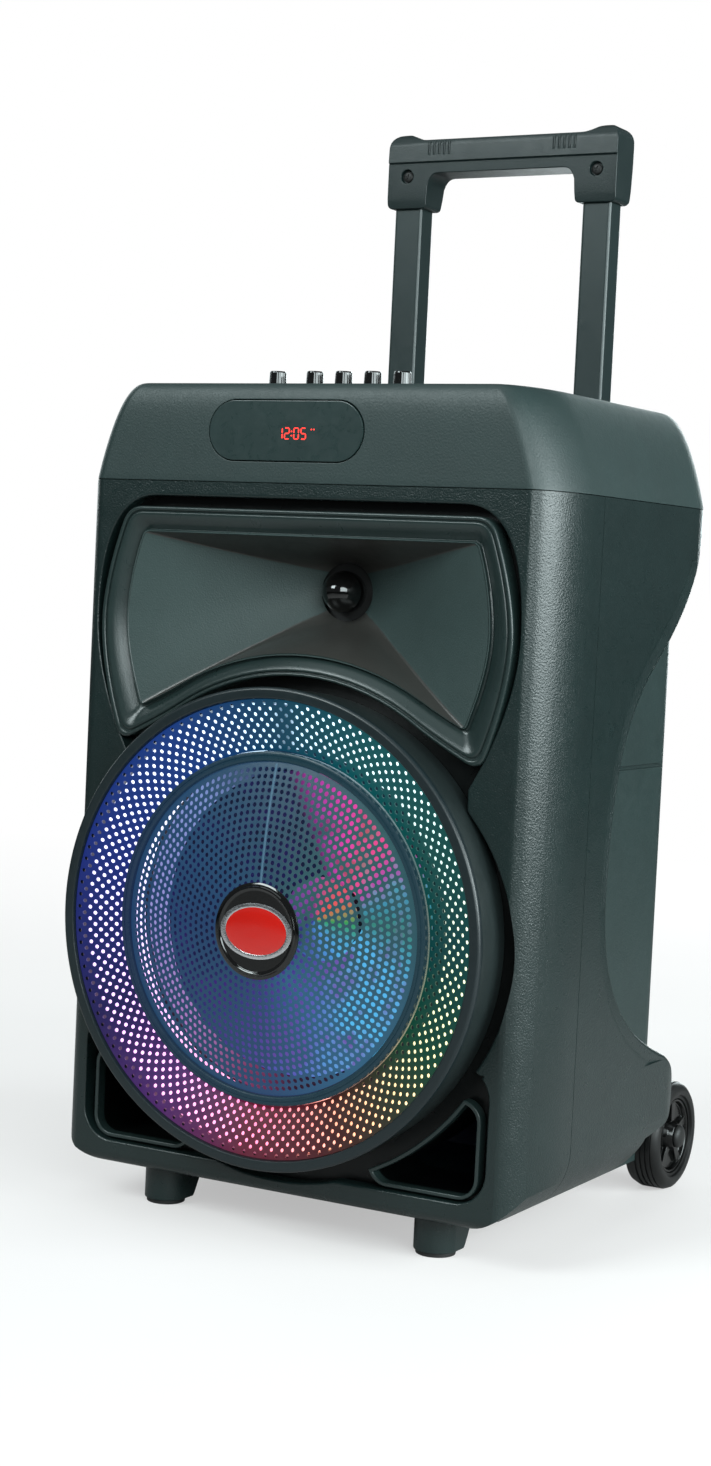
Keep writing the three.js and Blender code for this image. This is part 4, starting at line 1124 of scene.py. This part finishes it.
def make_sockets():
    for node, bore, r in JACKS:
        low, high = limits(node)[2]
        cx, cy = middle_of(node)
        plate = bevelled(
            prism("plate", node_outline(node, 0, 0, 1.5), "z", PANEL_TOP - 3, PANEL_TOP), 0.3)
        nut = turned("nut", [
            (bore, low + 2.5), (bore, high - 0.6), (bore + 0.6, high), (r - 1.2, high),
            (r - 0.3, high - 0.5), (r, high - 1.1), (r - 1.4, PANEL_TOP - 1), (r - 1.4, low),
            (0, low), (0, low + 2.5)],
            "z", (cx, cy), 48)
        way = prism("way", circle(cx, cy, r - 1.5, 40), "z", PANEL_TOP - 4, PANEL_TOP + 1)
        body = joined(cut(plate, way), nut)
        body.name = f"{node}_fine"
        dress(body, [black_metal, steel], replaces=[node],
              choose=lambda centre, normal: (
                  math.hypot(centre.x - cx, centre.y - cy) < r and centre.z > PANEL_TOP - 0.1))
    low, high = limits("usb_socket")[2]
    cx, cy = middle_of("usb_socket")
    usb = cut(
        joined(
            prism("usb_socket_fine", node_outline("usb_socket", 0, 0, 1.5), "z",
                  PANEL_TOP - 3, PANEL_TOP),
            prism("shell", rounded(14.2, 7.2, 1, cx, cy, 4), "z", low, high)),
        prism("slot", rounded(11.2, 4.2, 0.5, cx, cy, 3), "z", low + 2, high + 1))
    dress(bevelled(usb, 0.3, 2, 40), [black_metal, steel], replaces=["usb_socket"],
          choose=lambda centre, normal: abs(centre.x - cx) < 7.2 and abs(centre.y - cy) < 3.7)

    (x0, x1), (y0, y1), (low, high) = limits("power_switch")
    mid = (y0 + y1) / 2
    side = (
        [(y0, low), (y1, low), (y1, high - 2.4)]
        + bezier((y1 - 0.3, high - 2.2), (mid + 3, high - 3.6), (mid - 2, high - 2.6),
                 (y0 + 0.4, high), steps=10)
        + [(y0 + 0.4, high), (y0, high - 0.5)])
    rocker = prism("power_switch_fine", side, "x", x0, x1)
    dress(bevelled(rocker, 0.4, 2, 50), rubber, "rocker", ["power_switch"])


# ---- handle -----------------------------------------------------------------------------
(_, GRIP_HALF), (GRIP_FRONT, GRIP_BACK), (GRIP_BOTTOM, GRIP_TOP) = limits("handle_grip")
SCREW_Z = sum(limits("grip_screw_right")[2]) / 2


def grip_outline():
    """The grip seen from the front: two legs and the bridge between them."""
    bridge, opening = GRIP_TOP - 5.5, GRIP_BOTTOM + 26
    half, top, bottom = GRIP_HALF, GRIP_TOP, GRIP_BOTTOM
    right = (
        [(0, opening), (52, opening)]
        + bezier((52, opening), (58, opening), (60, opening - 4), (62, opening - 12), steps=6)
        + [(62, bottom + 3)] + arc(65, bottom + 3, 3, 3, 180, 270, 4)
        + arc(half - 4, bottom + 4, 4, 4, 270, 360, 5)
        + bezier((half, top - 12), (half, top - 4), (half - 4, top), (half - 12, top - 0.2), steps=8)
        + bezier((half - 12, top - 0.2), (76, top), (74, bridge), (64, bridge), steps=8)
        + [(64, bridge), (0, bridge)])
    return right + [(-x, z) for x, z in reversed(right[1:-1])]


def grip_side():
    """The grip seen from the side."""
    y, bottom, top = HANDLE_Y, GRIP_BOTTOM, GRIP_TOP
    back, front = GRIP_BACK - y, GRIP_FRONT - y
    return (
        [(y + front + 2, bottom), (y + 12, bottom)]
        + bezier((y + 14, bottom + 10), (y + back, top - 30), (y + back, top - 20),
                 (y + back, top - 10), steps=8)
        + bezier((y + back, top - 10), (y + back, top - 2), (y + 11, top + 0.5),
                 (y + 2, top + 0.5), steps=8)
        + bezier((y + 2, top + 0.5), (y - 9, top + 0.5), (y + front + 1, top - 3),
                 (y + front, top - 14), steps=8)
        + [(y + front, top - 22), (y + front + 0.8, top - 24), (y + front + 0.9, bottom + 8)])


def make_handle():
    for name, side in SIDES:
        low, high = limits(f"handle_post_{name}")[2]
        post = cut(
            prism(f"handle_post_{name}_fine", post_outline(side, 0), "z", low, high),
            prism("bore", post_outline(side, -1.5), "z", low - 1, high + 1))
        dress(bevelled(post, 0.4, 2, 50), post_paint, "handle", [f"handle_post_{name}"])
        low, high = limits(f"post_collar_{name}")[2]
        collar = cut(
            joined(
                prism(f"post_collar_{name}_fine", post_outline(side, 3.15), "z", low, high - 2),
                prism("flange", post_outline(side, 6), "z", high - 2.05, high)),
            prism("way", post_outline(side, GAP), "z", low - 1, high + 1))
        dress(bevelled(collar, 0.5, 2, 50), gloss_recess,
              replaces=[f"post_collar_{name}"])
        low, high = limits(f"handle_sleeve_{name}")[2]
        sleeve = cut(
            prism(f"handle_sleeve_{name}_fine", post_outline(side, 2), "z", low, high),
            prism("way", post_outline(side, GAP), "z", 200, 600))
        dress(sleeve, steel, replaces=[f"handle_sleeve_{name}"])

    grip = common(
        prism("handle_grip_fine", grip_outline(), "y", GRIP_FRONT - 2, GRIP_BACK + 2),
        prism("side", grip_side(), "x", -GRIP_HALF - 2, GRIP_HALF + 2))
    ribs = [
        block("rib", x - 0.8, x + 0.8, GRIP_FRONT - 3, GRIP_FRONT + 1.6, GRIP_TOP - 17, GRIP_TOP + 3)
        for _, side in SIDES
        for x in [side * (52 + 4.2 * k) for k in range(-2, 3)]]
    crease = block(
        "crease", -REACH, REACH, GRIP_FRONT - 5, GRIP_FRONT + 1.1, GRIP_TOP - 23.3, GRIP_TOP - 22.6)
    pockets = [
        prism("pocket", circle(side * POST_X, SCREW_Z, 5.2, 28), "y", GRIP_FRONT - 5, HANDLE_Y - 10.8)
        for _, side in SIDES]
    shafts = [
        prism("shaft", post_outline(side, GAP), "z", GRIP_BOTTOM - 2, GRIP_BOTTOM + 14 + GAP)
        for _, side in SIDES]
    grip = cut(grip, *ribs, crease, *pockets, *shafts)
    dress(bevelled(grip, 0.7, 3, 45), handle_plastic, "handle", ["handle_grip"],
          sharp=40)

    for name, side in SIDES:  # cross-head screws
        front, back = limits(f"grip_screw_{name}")[1]
        centre = (side * POST_X, SCREW_Z)
        face = shifted([(0, 0), (2.6, 0.1), (3.5, 0.5), (4, 1)], front)
        head = turned(f"grip_screw_{name}_fine", [*face, (4, back), (0, back)], "y", centre, 32)
        turn = Matrix.Rotation(math.radians(20), 4, "Y")
        slots = []
        for width, height in ((0.9, 4.6), (4.6, 0.9)):
            slot = block("slot", -width / 2, width / 2, front - 1, front + 0.9, -height / 2, height / 2)
            slot.data.transform(Matrix.Translation(Vector((centre[0], 0, centre[1])) * MM) @ turn)
            slots.append(slot)
        dress(cut(head, *slots), black_metal, "handle", [f"grip_screw_{name}"])


# ---- wheels and feet --------------------------------------------------------------------
SPOKE = [(9.5, -2.6), (26, -3.6), (26, 3.6), (9.5, 2.6)]
AXLE_HOLE, HUB_R = 4.35, 28  # radii


def make_wheels():
    for name, s in SIDES:
        (x0, x1), (y0, y1), (z0, z1) = limits(f"wheel_{name}")
        inner, outer = (x0, x1)[::s]
        centre, r = ((y0 + y1) / 2, (z0 + z1) / 2), (z1 - z0) / 2

        tyre = [(HUB_R, inner), (34, inner), (37.5, inner + s * 1.5), (r - 0.4, inner + s * 6)]
        for k in range(4):  # tread grooves
            at = inner + s * (7.5 + k * 4)
            tyre += [(r, at), (r, at + s * 2.4), (r - 1, at + s * 2.7), (r - 1, at + s * 3.7)]
        tyre += [(r - 0.4, outer - s * 5), (38.6, outer - s * 2.6), (36, outer - s * 0.6), (32.5, outer),
                 (30.5, outer - s * 0.8), (30, outer - s * 2.5), (HUB_R, outer - s * 2.5),
                 (HUB_R, inner)]
        tyre = [(radius, max(min(x, x1), x0)) for radius, x in tyre]
        ring = turned(f"wheel_{name}_tyre", tyre, "x", centre, 120)
        dress(ring, tyre_rubber, f"wheel_{name}", [f"wheel_{name}"])

        face = outer - s * 3
        hub = turned(f"wheel_{name}_hub", [
            (AXLE_HOLE, inner), (27.95, inner), (27.95, face - s * 1), (27, face),
            (25.6, face - s * 0.3), (24.5, face - s * 3.5), (12, face - s * 4.5),
            (10.6, face - s * 0.4), (9.4, outer - s * 0.2), (AXLE_HOLE, outer - s * 0.2),
            (AXLE_HOLE, inner)], "x", centre, 96)
        spokes = [
            prism("spoke", spun(centre, SPOKE, 2 * math.pi * (k + 0.25) / 5), "x",
                  face - s * 6, face - s * 1.2) for k in range(5)]
        hub = bevelled(joined(hub, *spokes), 0.5, 2, 45)
        dress(hub, wheel_black, f"wheel_{name}")

        base, tip = limits(f"wheel_cap_{name}")[0][::s]
        cap = [(0, base), (8.4, base), (8.4, base + s * 1), (7.8, base + s * 2.2), (6.4, tip - s * 0.9),
               (4, tip - s * 0.2), (0, tip)]
        dress(turned(f"wheel_cap_{name}_fine", cap, "x", centre, 48), black_metal,
              f"wheel_{name}", [f"wheel_cap_{name}"])

        (b0, b1), _, (low, _) = limits(f"wheel_bracket_{name}")
        arm = [(REAR_Y + GAP, 84), (REAR_Y + GAP, low)] + arc(*centre, 14, 14, -90, 63, 16)
        bracket = cut(
            prism(f"wheel_bracket_{name}_fine", arm, "x", b0, b1),
            prism("bore", circle(*centre, AXLE_HOLE, 24), "x", b0 - 5, b1 + 5))
        dress(bevelled(bracket, 0.8, 2, 40), gloss_recess,
              replaces=[f"wheel_bracket_{name}"])


def make_feet():
    for name, _ in SIDES:
        (x0, x1), (y0, y1), (low, high) = limits(f"foot_{name}")
        cx, r = (x0 + x1) / 2, (x1 - x0) / 2
        cy = y0 + r
        plan = arc(cx, cy, r, r, 180, 360, 24) + [(x1, cy + 30), (x0, cy + 30)]
        heel = [(y0 - 1, low), (cy + 12, low)] + bezier(
            (cy + 12, low), (cy + 15, low + 1), (cy + 20, high - 8), (cy + 30, high), steps=8) + [
            (cy + 30, high), (y0 - 1, high)]
        foot = common(
            prism(f"foot_{name}_fine", plan, "z", low - 1, high),
            prism("heel", heel, "x", -REACH, REACH))
        dress(bevelled(foot, 0.7, 2, 40), cabinet_plastic, replaces=[f"foot_{name}"])
        (x0, x1), _, (low, high) = limits(f"foot_pad_{name}")
        r = (x1 - x0) / 2
        pad = turned(f"foot_pad_{name}_fine", [
            (0, low), (r - 0.8, low), (r - 0.2, low + 0.3), (r, low + 0.9), (r, high), (0, high)],
            "z", (cx, cy), 48)
        dress(pad, rubber, replaces=[f"foot_pad_{name}"])


# ---- CAD nodes that stay ----------------------------------------------------------------
KEPT = {
    "display_module": board, "amplifier_board": board, "battery": case, "tweeter_driver": black_metal,
    "woofer_basket": black_metal, "woofer_magnet": black_metal, "woofer_surround": surround_rubber_and_lamplight,
    "woofer_cone": cone_paper_and_lamplight, "dust_cap": cap_paper_and_lamplight, "wheel_axle": steel}


def paint_kept_nodes():
    for node, material in KEPT.items():
        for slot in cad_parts[node].material_slots:
            slot.material = material


# ---- studio -----------------------------------------------------------------------------
def make_camera():
    """The camera at the photograph's viewing angle; its long side spans 36 mm of sensor."""
    yaw, pitch, roll = (math.radians(a) for a in (29.366, 3.458, 2.722))
    forward = Vector((
        -math.sin(yaw) * math.cos(pitch), math.cos(yaw) * math.cos(pitch), -math.sin(pitch)))
    level = Vector((math.cos(yaw), math.sin(yaw), 0))
    upright = level.cross(forward)
    right = level * math.cos(roll) + upright * math.sin(roll)
    up = upright * math.cos(roll) - level * math.sin(roll)
    data = bpy.data.cameras.new("camera")
    data.sensor_fit, data.sensor_width, data.lens = "AUTO", 36, 60.94
    camera = added("camera", data)
    axes = Matrix((right, up, -forward)).transposed().to_4x4()
    camera.matrix_world = Matrix.Translation((0.842975, -1.56936, 0.440594)) @ axes
    bpy.context.scene.camera = camera


def soft_light(name, place, size, power, target=(0, 0, 0.35)):
    """A rectangular lamp that faces a target; places in metres."""
    data = bpy.data.lights.new(name, "AREA")
    data.shape, data.size, data.size_y = "RECTANGLE", *size
    data.energy, data.color = power, COOL
    light = added(name, data)
    light.location = place
    light.rotation_euler = (Vector(target) - Vector(place)).to_track_quat("-Z", "Y").to_euler()


FLOOR_R = 12000
BACKDROP, FLOOR_GLOW, AMBIENT = 1.0, 0.46, 0.1


def make_floor():
    """A pale disc. Far away it takes the backdrop's tone, so that no horizon shows."""
    n = Nodes("floor")
    reach = n.add("ShaderNodeVectorMath", {0: n.coords}, operation="LENGTH").outputs["Value"]
    far = n.remap(reach, 0.0, 1.0, 0.7, 2.4)
    near_tone = n.mix(n.noise(300), (0.4, 0.375, 0.37, 1), (0.43, 0.405, 0.4, 1))
    n.feed("Base Color", n.mix(far, near_tone, (0, 0, 0, 1)))
    n.feed("Roughness", 0.9)
    n.feed("Specular IOR Level", 0.0)
    seen = n.add("ShaderNodeLightPath").outputs["Is Camera Ray"]
    n.feed("Emission Color", (1, 1, 1, 1))
    n.feed("Emission Strength", n.math("MULTIPLY", seen, n.remap(far, FLOOR_GLOW, BACKDROP, 0, 1)))
    disc = turned("floor", [(0, -30), (FLOOR_R, -30), (FLOOR_R, -0.05), (0, -0.05)], "z", (0, 0), 96)
    disc.data.materials.append(n.material)


COOL = (0.87, 0.99, 1.0)  # the lamps' colour


def make_studio():
    """A white backdrop for the camera, a dim world for the object, and the lamps."""
    make_floor()
    world = bpy.data.worlds.new("studio")
    bpy.context.scene.world = world
    world.use_nodes = True
    tree = world.node_tree
    seen = tree.nodes.new("ShaderNodeBackground")
    seen.inputs["Color"].default_value = (1, 1, 1, 1)
    seen.inputs["Strength"].default_value = BACKDROP
    around = tree.nodes["Background"]
    around.inputs["Color"].default_value = (0.9, 0.96, 1, 1)
    around.inputs["Strength"].default_value = AMBIENT
    path, mix = tree.nodes.new("ShaderNodeLightPath"), tree.nodes.new("ShaderNodeMixShader")
    tree.links.new(path.outputs["Is Camera Ray"], mix.inputs[0])
    tree.links.new(around.outputs[0], mix.inputs[1])
    tree.links.new(seen.outputs[0], mix.inputs[2])
    tree.links.new(mix.outputs[0], tree.nodes["World Output"].inputs["Surface"])

    soft_light("key", (-1.2, -2.5, 2.2), (1.4, 1.4), 74)
    soft_light("fill", (2.0, -2.1, 1.25), (1.9, 1.3), 64)
    soft_light("side", (2.3, 0.1, 0.9), (1.9, 1.1), 84, (0, 0, 0.5))
    soft_light("top", (-0.2, -0.4, 2.6), (2.0, 2.0), 12)
    soft_light("back", (-0.6, 2.7, 0.9), (1.3, 1.3), 40)
    soft_light("back_left", (-2.3, 1.2, 1.3), (1.2, 1.6), 14)
    bpy.context.scene.view_settings.view_transform = "Standard"


for make in (
        make_camera, make_studio, make_shells, make_cover, make_digits, make_baffle, make_bezel,
        make_horn, make_ring, make_outer_grille, make_inner_grille, make_inner_ring, make_lamps,
        make_badge, make_panel, make_knobs, make_sockets, make_handle, make_wheels, make_feet,
        paint_kept_nodes):
    make()
